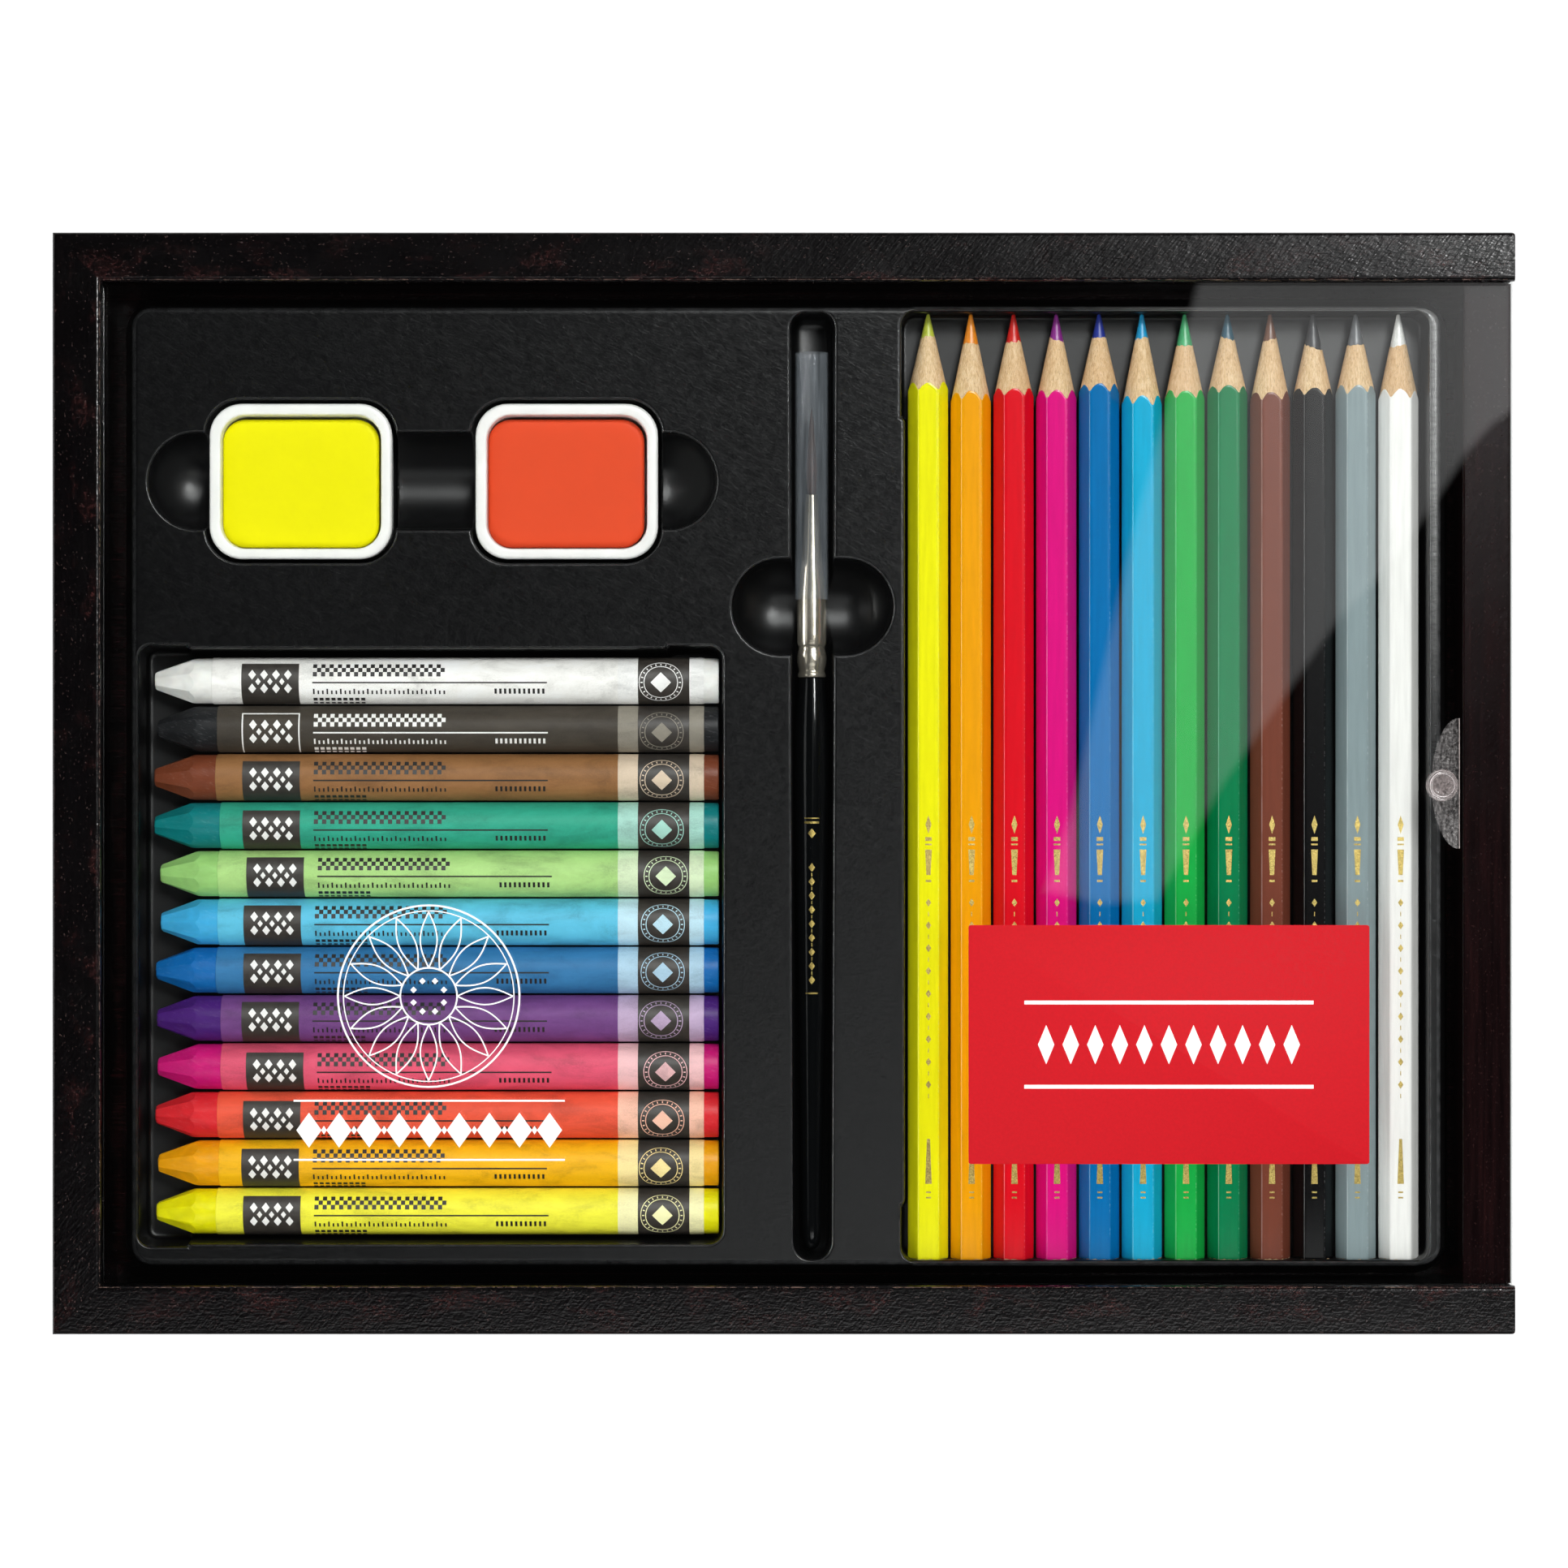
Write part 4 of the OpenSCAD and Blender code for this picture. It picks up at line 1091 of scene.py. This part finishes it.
ANG = []
for k in range(6):
    for d in (-28.1, -25.4, -20.5, -14, -7, 0, 7, 14, 20.5, 25.4, 28.1, 30):
        ANG.append(math.radians(60 * k + d))
leads = Shells()
foil = []
for i, key in enumerate(COL):
    cx = 26.74 + 7.92 * i
    turn = math.radians(R.uniform(-1.2, 1.2))
    k = (AF / 2 - 0.3) / (Y1 - SCALLOP[i])

    def put(r, a, t, cx=cx, turn=turn):
        return (cx + r * math.sin(a + turn), t, PZ + r * math.cos(a + turn))

    rows, kinds = [], []

    def row(kind, fn):
        rows.append([put(*fn(a)) for a in ANG])
        kinds.append(kind)

    def wob(a, s, f):
        return s * noise.noise(Vector((math.cos(a) * f, math.sin(a) * f, i * 7.3)))

    hx = {a: hexr(a) for a in ANG}
    ys = {a: Y1 - (AF / 2 + (hx[a] - AF / 2) * 0.72 - 0.3) / k + wob(a, 0.42, 1.2) + wob(a, 0.22, 5.0) for a in ANG}
    tilt, tdir = R.uniform(0.05, 0.55), R.uniform(0, 6.28)
    yl = {a: LEAD_Y[i] + tilt * math.cos(a - tdir) + wob(a, 0.35, 2.6) for a in ANG}
    cone = lambda y: 0.3 + k * (Y1 - y)
    row(1, lambda a: (1.47, a, Y0))
    row(1, lambda a: (hx[a] - 0.24, a, Y0))
    row(0, lambda a: (hx[a] - 0.05 + wob(a, 0.05, 6), a, Y0 + 0.16 + max(0, wob(a, 0.3, 6))))
    row(0, lambda a: (hx[a], a, Y0 + 0.55))
    for t in (-70, -40, -10, 20, 45, 62):
        row(0, lambda a, t=t: (hx[a] + 0.012 * noise.noise(Vector((a * 2, t / 9, i))), a, t))
    row(0, lambda a: (hx[a], a, ys[a] - 0.5))
    row(0, lambda a: (hx[a] - 0.004, a, ys[a] - 0.1))
    row(1, lambda a: (hx[a] - 0.05, a, ys[a] + 0.0))
    row(1, lambda a: (cone(ys[a] + 0.25) + 0.0, a, ys[a] + 0.25))
    for s in (0.25, 0.5, 0.75):
        row(1, lambda a, s=s: (cone(ys[a] + (yl[a] - ys[a]) * s) + wob(a, 0.02, 9), a, ys[a] + (yl[a] - ys[a]) * s))
    row(1, lambda a: (cone(yl[a]) + 0.012, a, yl[a]))
    row(1, lambda a: (min(1.44, cone(yl[a]) - 0.05), a, yl[a] - 0.02))
    row(1, lambda a: (1.47, a, yl[a] - 1.6))
    v, f, rid = loft(rows, ring=True)
    fm = [kinds[q] for q in rid]
    lac = lacquer("lacquer_" + (key if key != "black" else "black_pencil"), LACQ[i], edge_light=True)
    add("pencil_" + key + "_case", v, f, [lac, CEDAR], fm, replaces=("pencil_" + key,), sharp=50)
    # lead
    prof = [(0, Y0 + 0.05), (1.35, Y0 + 0.05), (1.45, Y0 + 0.15), (1.45, Y1 - (1.45 - 0.3) / k - 0.6)]
    for y in np.linspace(Y1 - (1.45 - 0.3) / k + 0.1, Y1 - 0.55, 9):
        prof.append((cone(y) - 0.02, float(y)))
    prof += [(0.36, Y1 - 0.3), (0.3, Y1 - 0.12), (0.19, Y1 - 0.03), (0, Y1)]
    pv, pf = lathe(prof, put, 36)
    leads.extend(pv, pf, i)
    # generic foil marks on the upper face
    top = AF / 2
    ct, st = math.cos(turn), math.sin(turn)

    def face(u, w, h, cx=cx, ct=ct, st=st):
        x, z = w, top + h
        return (cx + x * ct + z * st, u, PZ + z * ct - x * st)

    q = [lozenge(-7.6, 0, 1.7, 0.55), rect(-10.6, -9.9, -0.6, 0.6), rect(-11.4, -11.1, -0.6, 0.6),
         (((-12.2, -0.62), (-12.2, 0.62), (-16.9, 0.38), (-16.9, -0.38)), 0), rect(-18.2, -17.8, -0.5, 0.5)]
    for m in range(9):
        q.append(lozenge(-22.0 - 4.2 * m, 0, 0.75, 0.5))
        q.append(rect(-24.5 - 4.2 * m, -23.7 - 4.2 * m, -0.08, 0.08))
    q += [(((-65.6, -0.28), (-65.6, 0.28), (-73.9, 0.6), (-73.9, -0.6)), 0), rect(-75.6, -75.3, -0.45, 0.45), rect(-76.6, -76.3, -0.45, 0.45)]
    foil.append((q, face))
lead_mats = [lead("lead_" + c, LEAD[i]) for i, c in enumerate(COL)]
add("pencil_leads_cores", leads.v, leads.f, lead_mats, leads.m, replaces=("pencil_leads",), sharp=60)
for (q, face), key in zip(foil, COL):
    plates("pencil_" + key + "_foil", q, face, [GOLD], "box", -0.02, 0.016, 2.0)

# ---------------------------------------------------------------- wax pastels
TIP = [-116.4, -115.9, -116.5, -116.5, -115.4, -115.3, -116.2, -116.0, -115.9, -116.3, -115.8, -116.1]
WRAP = [-105.6, -104.6, -104.9, -104.1, -104.5, -104.5, -104.8, -103.9, -103.9, -104.6, -104.3, -104.8]
WR, PR = 4.18, 4.32
WZ = 7.4 + PR
for i, key in enumerate(WAXN):
    cy = 19.0 - 8.93 * i
    spin = R.uniform(0, 2 * math.pi)

    def put(r, a, t, cy=cy):
        """The angle runs from the top towards -Y."""
        return (t, cy - r * math.sin(a), WZ + r * math.cos(a))

    N = 64
    sides = 8
    A = [2 * math.pi * j / N for j in range(N)]

    def side(a, spin=spin):
        p = (a + spin) % (2 * math.pi / sides) - math.pi / sides
        return 1 / math.cos(p)

    def wob(a, s, f, o=0.0):
        return s * noise.noise(Vector((math.cos(a) * f, math.sin(a) * f, i * 3.7 + o)))

    x0 = TIP[i]
    slope = (WR * 0.985 - 1.62) / 7.4
    end = {a: x0 + (WR / side(a) - 1.62) / slope for a in A}  # where a facet meets the round stick
    rows = []

    def row(fn):
        rows.append([put(*fn(a)) for a in A])

    row(lambda a: (0.9 * side(a) + wob(a, 0.12, 2), a, x0 + 0.02 + wob(a, 0.05, 3)))
    row(lambda a: (1.38 * side(a) + wob(a, 0.12, 3, 1), a, x0 + 0.04 + wob(a, 0.06, 4, 1)))
    row(lambda a: (1.62 * side(a) + wob(a, 0.08, 5, 2), a, x0 + 0.3 + wob(a, 0.12, 5, 2)))
    for s in (0.12, 0.3, 0.5, 0.7, 0.88):
        row(lambda a, s=s: ((1.62 + (end[a] - x0) * s * slope) * side(a) + wob(a, 0.03, 4, s), a, x0 + 0.3 + (end[a] - x0 - 0.3) * s))
    row(lambda a: (WR - 0.02, a, end[a] - 0.08))
    row(lambda a: (WR, a, end[a] + 0.3))
    for t in np.linspace(x0 + 9.4, -12.6, 9):
        row(lambda a, t=t: (WR + wob(a, 0.012, 2, t), a, float(t)))
    row(lambda a: (WR - 0.02, a, -12.15))
    row(lambda a: (WR - 0.14 + wob(a, 0.03, 4), a, -12.0))
    row(lambda a: (WR - 0.4, a, -11.95))
    v, f, _ = loft(rows)
    add("pastel_" + key + "_stick", v, f, [wax("wax_" + key, WAXC[i], key == "black")], replaces=("pastel_" + key,), sharp=14)

    # wrapper: a paper tube with its printed bands
    ex = WRAP[i]
    cuts = [(ex, 0), (ex + 0.05, 0)] + [(float(t), 0) for t in np.linspace(ex + 3, -31.2, 16)] + [(-30.6, 1), (-26.9, 2), (-24, 2), (-20.5, 2), (-17.4, 1), (-15.2, 1), (-14.72, 1)]
    seam = R.uniform(2.4, 3.8)
    rows, kinds = [], []
    for n_, (t, kd) in enumerate(cuts):
        rr = PR - (0.05 if n_ in (0, len(cuts) - 1) else 0.0)
        rows.append([put(rr + wob(a, 0.018, 1.3, t / 9), a, t + (wob(a, 0.10, 1.1, 9) if n_ < 2 else 0)) for a in A])
        kinds.append(kd)
    rows.append([put(WR + 0.02, a, -14.72) for a in A])
    kinds.append(0)
    rows.append([put(WR + 0.02, a, ex + wob(a, 0.10, 1.1, 9)) for a in A])
    kinds.append(0)
    v, f, rid = loft(rows, ring=True)
    mats = [paper("paper_" + key, PAPC[i]), paper("paper_tint_" + key, TINT[i]), PRINT]
    add("wrap_" + key + "_tube", v, f, mats, [kinds[q] for q in rid], replaces=("wrap_" + key,), sharp=40)

    # generic printed marks
    twist = R.uniform(-0.35, 0.35)
    shift = R.uniform(-0.5, 0.5)

    def on_wrap(u, w, h, put=put, twist=twist, shift=shift):
        return put(PR + h, (w + twist) / PR, u + shift)

    light = key == "black"
    ink, ground = (2, 0) if light else (1, 0)
    q = []
    if light:
        q += [rect(-99.7, -89.0, -3.3, -3.05, 2), rect(-99.7, -99.45, -3.05, 6.0, 2), rect(-89.25, -89.0, -3.05, 6.0, 2)]
    else:
        q.append(rect(-99.6, -89.0, -3.25, 6.4, 0))
    top_q = [lozenge(-97.6 + 2.2 * m, -0.9 + 2.6 * n_, 0.72, 0.95, 2) for m in range(4) for n_ in range(2)]
    top_q += [lozenge(-96.5 + 2.2 * m, 0.4, 0.5, 0.65, 2) for m in range(3)]
    for m in range(32):
        u = -86.4 + 0.76 * m
        for n_ in range(3):
            if (m + n_) % 2 == 0:
                q.append(rect(u, u + 0.76, -3.1 + 0.85 * n_, -2.25 + 0.85 * n_, ink))
    q.append(rect(-86.5, -43.2, 0.45, 0.72, ink))
    for m in range(30):
        u = -86.4 + 0.83 * m
        q.append(rect(u, u + 0.3, 1.75 + (0.35 if m % 3 else 0.0), 2.85, ink))
    for m in range(11):
        u = -52.9 + 0.88 * m
        q.append(rect(u, u + 0.42, 1.7, 2.75, ink))
    for m in range(9):
        u = -86.4 + 1.1 * m
        q.append(rect(u, u + 0.75, 3.75, 4.5, ink))
        q.append(rect(u, u + 0.7, 5.1, 5.8, ink))
    ring = arc_quads(-22.2, 0.55, 3.1, 0.16, n=36, m=3) + arc_quads(-22.2, 0.55, 4.0, 0.14, n=40, m=3)
    for m in range(24):
        a = 2 * math.pi * m / 24
        ring.append(line((-22.2 + 3.35 * math.cos(a), 0.55 + 3.35 * math.sin(a)), (-22.2 + 3.75 * math.cos(a), 0.55 + 3.75 * math.sin(a)), 0.2, 3))
    ring += [lozenge(-22.2, 0.55, 1.9, 1.9, 3), ]
    plates("wrap_" + key + "_print", q, on_wrap, [PRINT, INK, PAPER_WHITE, PAPER_WHITE], "box", -0.03, 0.03, 0.55)
    plates("wrap_" + key + "_seal", top_q + ring, on_wrap, [PRINT, INK, PAPER_WHITE, bpy.data.materials["paper_tint_" + key]], "box", 0.032, 0.045, 0.55)

# ---------------------------------------------------------------- lid
bm = cad_copy("lid_panel")
LX1, LT = 133.3, 24.0
rim = []
for e in bm.edges:
    a, b = (v.co for v in e.verts)
    if len(e.link_faces) == 2 and e.calc_face_angle(0) > math.radians(30):
        on_side = lambda c: abs(c.x - LX1) < 0.02 or abs(c.x + 127.8) < 0.02 or abs(abs(c.y) - 94.9) < 0.02
        if on_side(a) and on_side(b):
            rim.append(e)
for fc in bm.faces:
    c = fc.calc_center_median()
    n = fc.normal
    in_nick = 118 < c.x < 123.8 and abs(c.y) < 14 and c.z > 22.0 and not (abs(n.z) > 0.999 and c.z > 23.99)
    near_pin = math.hypot(c.x - 120.35, c.y + 0.35) < 1.75
    fc.material_index = 1 if in_nick and not near_pin else 0
    fc.smooth = fc.material_index == 1
made = bmesh.ops.bevel(bm, geom=rim, offset=0.22, segments=2, profile=0.5, affect="EDGES")
for fc in made["faces"]:
    fc.smooth = False
bm.normal_update()
for fc in bm.faces:
    c = fc.calc_center_median()
    if abs(fc.normal.z) < 0.5 and (abs(c.x - LX1) < 0.1 or abs(c.x + 127.8) < 0.1 or abs(abs(c.y) - 94.9) < 0.1):
        fc.material_index = 2
bm_object("lid_sheet", bm, [ACRYLIC, MILLED, CUT_EDGE], body="lid", replaces=("lid_panel",), sharp=14)

SX, SY = 120.35, -0.35


def on_stud(r, a, t):
    return (SX + r * math.cos(a), SY + r * math.sin(a), t)


v, f = lathe([(0, 22.12), (1.5, 22.12), (1.58, 22.2), (1.58, 24.0), (2.72, 24.0), (2.9, 24.08), (2.95, 24.3), (2.93, 24.75), (2.84, 25.2), (2.66, 25.55),
              (2.42, 25.74), (2.15, 25.8), (1.95, 25.76), (1.8, 25.6), (1.7, 25.3), (1.55, 25.12), (1.2, 25.06), (0.6, 25.1), (0, 25.12)], on_stud, 48)
add("lid_stud_knob", v, f, [STUD], body="lid", replaces=("lid_stud",), sharp=40)

def stud_place(u, w, h):
    r = math.hypot(u - SX, w - SY)
    return (u, w, float(np.interp(r, (2.0, 2.15, 2.42, 2.66, 2.84, 2.93), (25.77, 25.8, 25.74, 25.55, 25.2, 24.75))) + h)


# painted highlights: pale arcs on the stud's rims, mostly on its left side
plates("lid_stud_rings", arc_quads(SX, SY, 2.74, 0.09, 95, 275, 30) + arc_quads(SX, SY, 2.36, 0.12, 100, 255, 26) + arc_quads(SX, SY, 2.1, 0.06, 0, 360, 40),
       stud_place, [STUD_RIM_HIGHLIGHT], "lid", -0.02, 0.02, 0.5)
# painted highlight: a thin pale line where the nick's cut meets its right side
plates("lid_nick_edge", [rect(123.5, 123.64, -11.9, 11.9)], lambda u, w, h: (u, w, 24.0 + h), [NICK_EDGE_HIGHLIGHT], "lid", -0.01, 0.012, 1.5)

rows = []
for e, z in ((0.05, 24.0), (0.0, 24.03), (0.0, 24.11), (0.05, 24.15)):
    rows.append(zloop(33.8 + e, 107.1 - e, -69.6 + e, -25.9 - e, 0.45, z, 4))
v, f, _ = loft(rows)
add("lid_label_film", v, f, [LABEL], body="lid", replaces=("lid_label",), sharp=40)


def on_lid(u, w, h):
    return (u, w, h)


# generic white ornament: a rosette over a row of lozenges
q = []
ox, oy = -64.9, -38.9
q += arc_quads(ox, oy, 16.6, 0.35, n=72) + arc_quads(ox, oy, 15.6, 0.2, n=72) + arc_quads(ox, oy, 5.2, 0.3, n=40)
for m in range(16):
    a = 2 * math.pi * m / 16
    c, s = math.cos(a), math.sin(a)
    pts = []
    for t in range(13):
        p = t / 12
        rr, w = 5.2 + 10.2 * p, 1.55 * math.sin(math.pi * p)
        pts.append((rr, w))
    for sgn in (1, -1):
        path = [(ox + rr * c - sgn * w * s, oy + rr * s + sgn * w * c) for rr, w in pts]
        q += [line(p0, p1, 0.26) for p0, p1 in zip(path, path[1:])]
for m in range(8):
    a = 2 * math.pi * (m + 0.5) / 8
    q.append(lozenge(ox + 3.0 * math.cos(a), oy + 3.0 * math.sin(a), 0.6, 0.6))
q += [rect(-89.6, -40.0, -58.2, -57.85), rect(-89.6, -40.0, -69.0, -68.65)]
for m in range(9):
    cx = -86.8 + 5.5 * m
    q.append(lozenge(cx, -63.4, 2.3, 3.2))
    if m < 8:
        q.append(lozenge(cx + 2.75, -63.4, 0.5, 0.8))
plates("lid_ornament", q, on_lid, [WHITE_INK], "lid", 23.995, 24.02, 6.0)
q = [rect(44.0, 96.9, -40.4, -39.7), rect(44.0, 96.9, -55.8, -55.1)]
for m in range(11):
    q.append(lozenge(48.0 + 4.49 * m, -47.75, 1.5, 3.6))
plates("lid_label_ornament", q, on_lid, [WHITE_INK], "lid", 24.145, 24.165, 6.0)

# ---------------------------------------------------------------- floor, light
fl = bpy.data.meshes.new("floor")
fl.from_pydata([(-6, -6, 0), (6, -6, 0), (6, 6, 0), (-6, 6, 0)], [], [(0, 1, 2, 3)])
floor = bpy.data.objects.new("floor", fl)
scene.collection.objects.link(floor)
FM = Mat("floor_white", Roughness=0.9, Specular_IOR_Level=0.0)
FM.p.inputs["Base Color"].default_value = (0.2, 0.2, 0.2, 1)
FM.p.inputs["Emission Color"].default_value = (1, 1, 1, 1)
FM.p.inputs["Emission Strength"].default_value = 0.9
fl.materials.append(FM.m)
floor.location = (0, 0, -0.0002)

world = bpy.data.worlds.new("studio")
scene.world = world
world.use_nodes = True
wt = world.node_tree
wt.nodes.clear()
bg = wt.nodes.new("ShaderNodeBackground")
wo = wt.nodes.new("ShaderNodeOutputWorld")
tc = wt.nodes.new("ShaderNodeTexCoord")
sx = wt.nodes.new("ShaderNodeSeparateXYZ")
mr = wt.nodes.new("ShaderNodeMapRange")
mr.interpolation_type = "SMOOTHSTEP"
wt.links.new(tc.outputs["Generated"], sx.inputs[0])
wt.links.new(sx.outputs[2], mr.inputs["Value"])
for k_, x_ in zip(("From Min", "From Max", "To Min", "To Max"), (0.1, 0.8, 0.20, 0.008)):
    mr.inputs[k_].default_value = x_
wt.links.new(mr.outputs[0], bg.inputs["Strength"])
bg.inputs["Color"].default_value = (1, 1, 1, 1)
pale = wt.nodes.new("ShaderNodeBackground")
pale.inputs["Color"].default_value = (0.96, 0.96, 0.96, 1)
lp = wt.nodes.new("ShaderNodeLightPath")
wm = wt.nodes.new("ShaderNodeMixShader")
wt.links.new(lp.outputs["Is Camera Ray"], wm.inputs[0])
wt.links.new(bg.outputs[0], wm.inputs[1])
wt.links.new(pale.outputs[0], wm.inputs[2])
wt.links.new(wm.outputs[0], wo.inputs["Surface"])


def area(name, direction, dist, size, power, aim=(0, 0, 0.02), glossy=True, diffuse=True):
    d = Vector(direction).normalized()
    L = bpy.data.lights.new(name, "AREA")
    L.shape = "RECTANGLE"
    L.size, L.size_y = size
    L.energy = power
    ob = bpy.data.objects.new(name, L)
    scene.collection.objects.link(ob)
    ob.location = Vector(aim) + d * dist
    ob.rotation_euler = d.to_track_quat("Z", "Y").to_euler()
    ob.visible_camera = False
    ob.visible_glossy = glossy
    ob.visible_diffuse = diffuse
    return ob


area("key", (0.25, 0.52, 1.0), 2.0, (0.75, 0.75), 32.0, glossy=False)
area("left", (-1.0, -0.1, 0.75), 1.6, (0.8, 0.8), 6.7, glossy=False)
area("right", (1.0, -0.1, 0.75), 1.6, (0.8, 0.8), 5.0, glossy=False)
woods = bpy.data.collections.new("woods")
others = bpy.data.collections.new("others")
for ob_ in scene.objects:
    if ob_.name.endswith("_wood") and ob_.name.split("_")[0] in ("rail", "end", "base"):
        if ob_.name != "end_right_wood":
            woods.objects.link(ob_)
    elif ob_.type == "MESH":
        others.objects.link(ob_)
ks = area("key_shine", (0.25, 0.52, 1.0), 2.0, (0.5, 0.5), 44.0, diffuse=False)
ks.light_linking.receiver_collection = others
kw = area("key_shine_wood", (0.25, 0.52, 1.0), 2.0, (0.5, 0.5), 5.0, diffuse=False)
kw.light_linking.receiver_collection = woods
cs = area("corner_shine", (0.40, 0.256, 1.0), 1.80, (0.3, 0.3), 9.0, diffuse=False)
cs.light_linking.receiver_collection = others
cw = area("corner_shine_wood", (0.40, 0.256, 1.0), 1.80, (0.3, 0.3), 14.0, diffuse=False)
cw.light_linking.receiver_collection = woods
bar = bpy.data.collections.new("bar")
bar.objects.link(bpy.data.objects["end_right_wood"])
bs = area("bar_shine", (0.235, 0.170, 1.0), 1.70, (0.14, 0.22), 4.0, diffuse=False)
bs.light_linking.receiver_collection = bar
sheet = bpy.data.collections.new("sheet")
sheet.objects.link(tray_ob)
ss = area("sheet_shine", (0.04, -0.14, 1.0), 1.65, (0.3, 0.3), 0.27, diffuse=False)
ss.light_linking.receiver_collection = sheet
area("fill", (-0.268, -0.625, 1.0), 1.6, (0.6, 0.6), 10.0, glossy=False)
area("fill_shine", (-0.268, -0.625, 1.0), 1.6, (0.6, 0.6), 1.6, diffuse=False)
st = area("strip", (-0.91, 0.0, 0.41), 1.4, (1.2, 0.06), 8.0, diffuse=False)
st.light_linking.receiver_collection = others
area("side_soft", (-0.8, 0.1, 0.6), 1.5, (0.8, 0.8), 1.6, diffuse=False)

# a lamp's soft edge that the lid mirrors
H = 1600.0
kx = 1 + H / 902.0
W = [(49.6, -18.5), (58, -20.5), (67.5, -20), (79.3, 0.8), (100.1, 30.5), (110, 41), (116.7, 50.5), (124, 61.5), (129, 67), (134, 70.5), (190, 112),
     (190, 170), (97.5, 170), (76.4, 88.4), (64.5, 42.3), (54.1, -5.2)]
outer = offset(W, -2.6)
n_ = len(W)
card_me = bpy.data.meshes.new("lamp_edge")
ctr = (150, 160)
pts = W + outer
tri = geometry.delaunay_2d_cdt([Vector(p) for p in W], [(i, (i + 1) % n_) for i in range(n_)], [], 1, 1e-5)
V_ = [(v.x, v.y) for v in tri[0]] + outer
k0 = len(tri[0])
F_ = [tuple(f)[::-1] for f in tri[2]]
order = [min(range(k0), key=lambda q_: math.dist(V_[q_], w_)) for w_ in W]
F_ += [(order[i], k0 + i, k0 + (i + 1) % n_, order[(i + 1) % n_]) for i in range(n_)]
card_me.from_pydata([(x * kx * MM, y * kx * MM, (24 + H) * MM) for x, y in V_], [], F_)
at = card_me.attributes.new("fade", "FLOAT", "POINT")
at.data.foreach_set("value", [1.0] * k0 + [0.0] * n_)
card = bpy.data.objects.new("lamp_edge", card_me)
scene.collection.objects.link(card)
CM = Mat("lamp_edge")
CM.nt.nodes.remove(CM.p)
em = CM.node("Emission")
an = CM.node("Attribute", attribute_name="fade")
x_, y_, _z = CM.xyz()
far = CM.math("MULTIPLY", CM.span(x_, 0.106 * kx, 0.127 * kx), CM.span(y_, 0.046 * kx, 0.066 * kx))
power = CM.math("MULTIPLY_ADD", far, 0.25, 0.70)
CM.put(em.inputs["Strength"], CM.math("MULTIPLY", power, CM.span(an.outputs["Fac"], 0.0, 1.0)))
CM.nt.links.new(em.outputs[0], CM.out.inputs["Surface"])
card_me.materials.append(CM.m)
card.visible_camera = False
card.visible_shadow = False
card.visible_diffuse = False

# a broad dim panel below the frame, for the sheen of the lower rail and the tray
low = bpy.data.meshes.new("lower_panel")
low.from_pydata([(x * kx * MM, y * kx * MM, (24 + H) * MM) for x, y in ((-190, -125), (-190, -250), (280, -250), (280, -125))], [], [(0, 1, 2, 3)])
low_ob = bpy.data.objects.new("lower_panel", low)
scene.collection.objects.link(low_ob)
LM = Mat("lower_panel")
LM.nt.nodes.remove(LM.p)
em = LM.node("Emission")
lx_, ly_, _z = LM.xyz()
LM.put(em.inputs["Strength"], LM.math("MULTIPLY", LM.span(lx_, -0.19 * kx, 0.12 * kx, 0.75, 2.0), LM.span(ly_, -0.125 * kx, -0.16 * kx)))
LM.nt.links.new(em.outputs[0], LM.out.inputs["Surface"])
low.materials.append(LM.m)
low_ob.visible_camera = False
low_ob.visible_shadow = False
low_ob.visible_diffuse = False
for name_ in ("lid_ornament", "lid_label_ornament", "lid_label_film"):
    bpy.data.objects[name_].visible_shadow = False
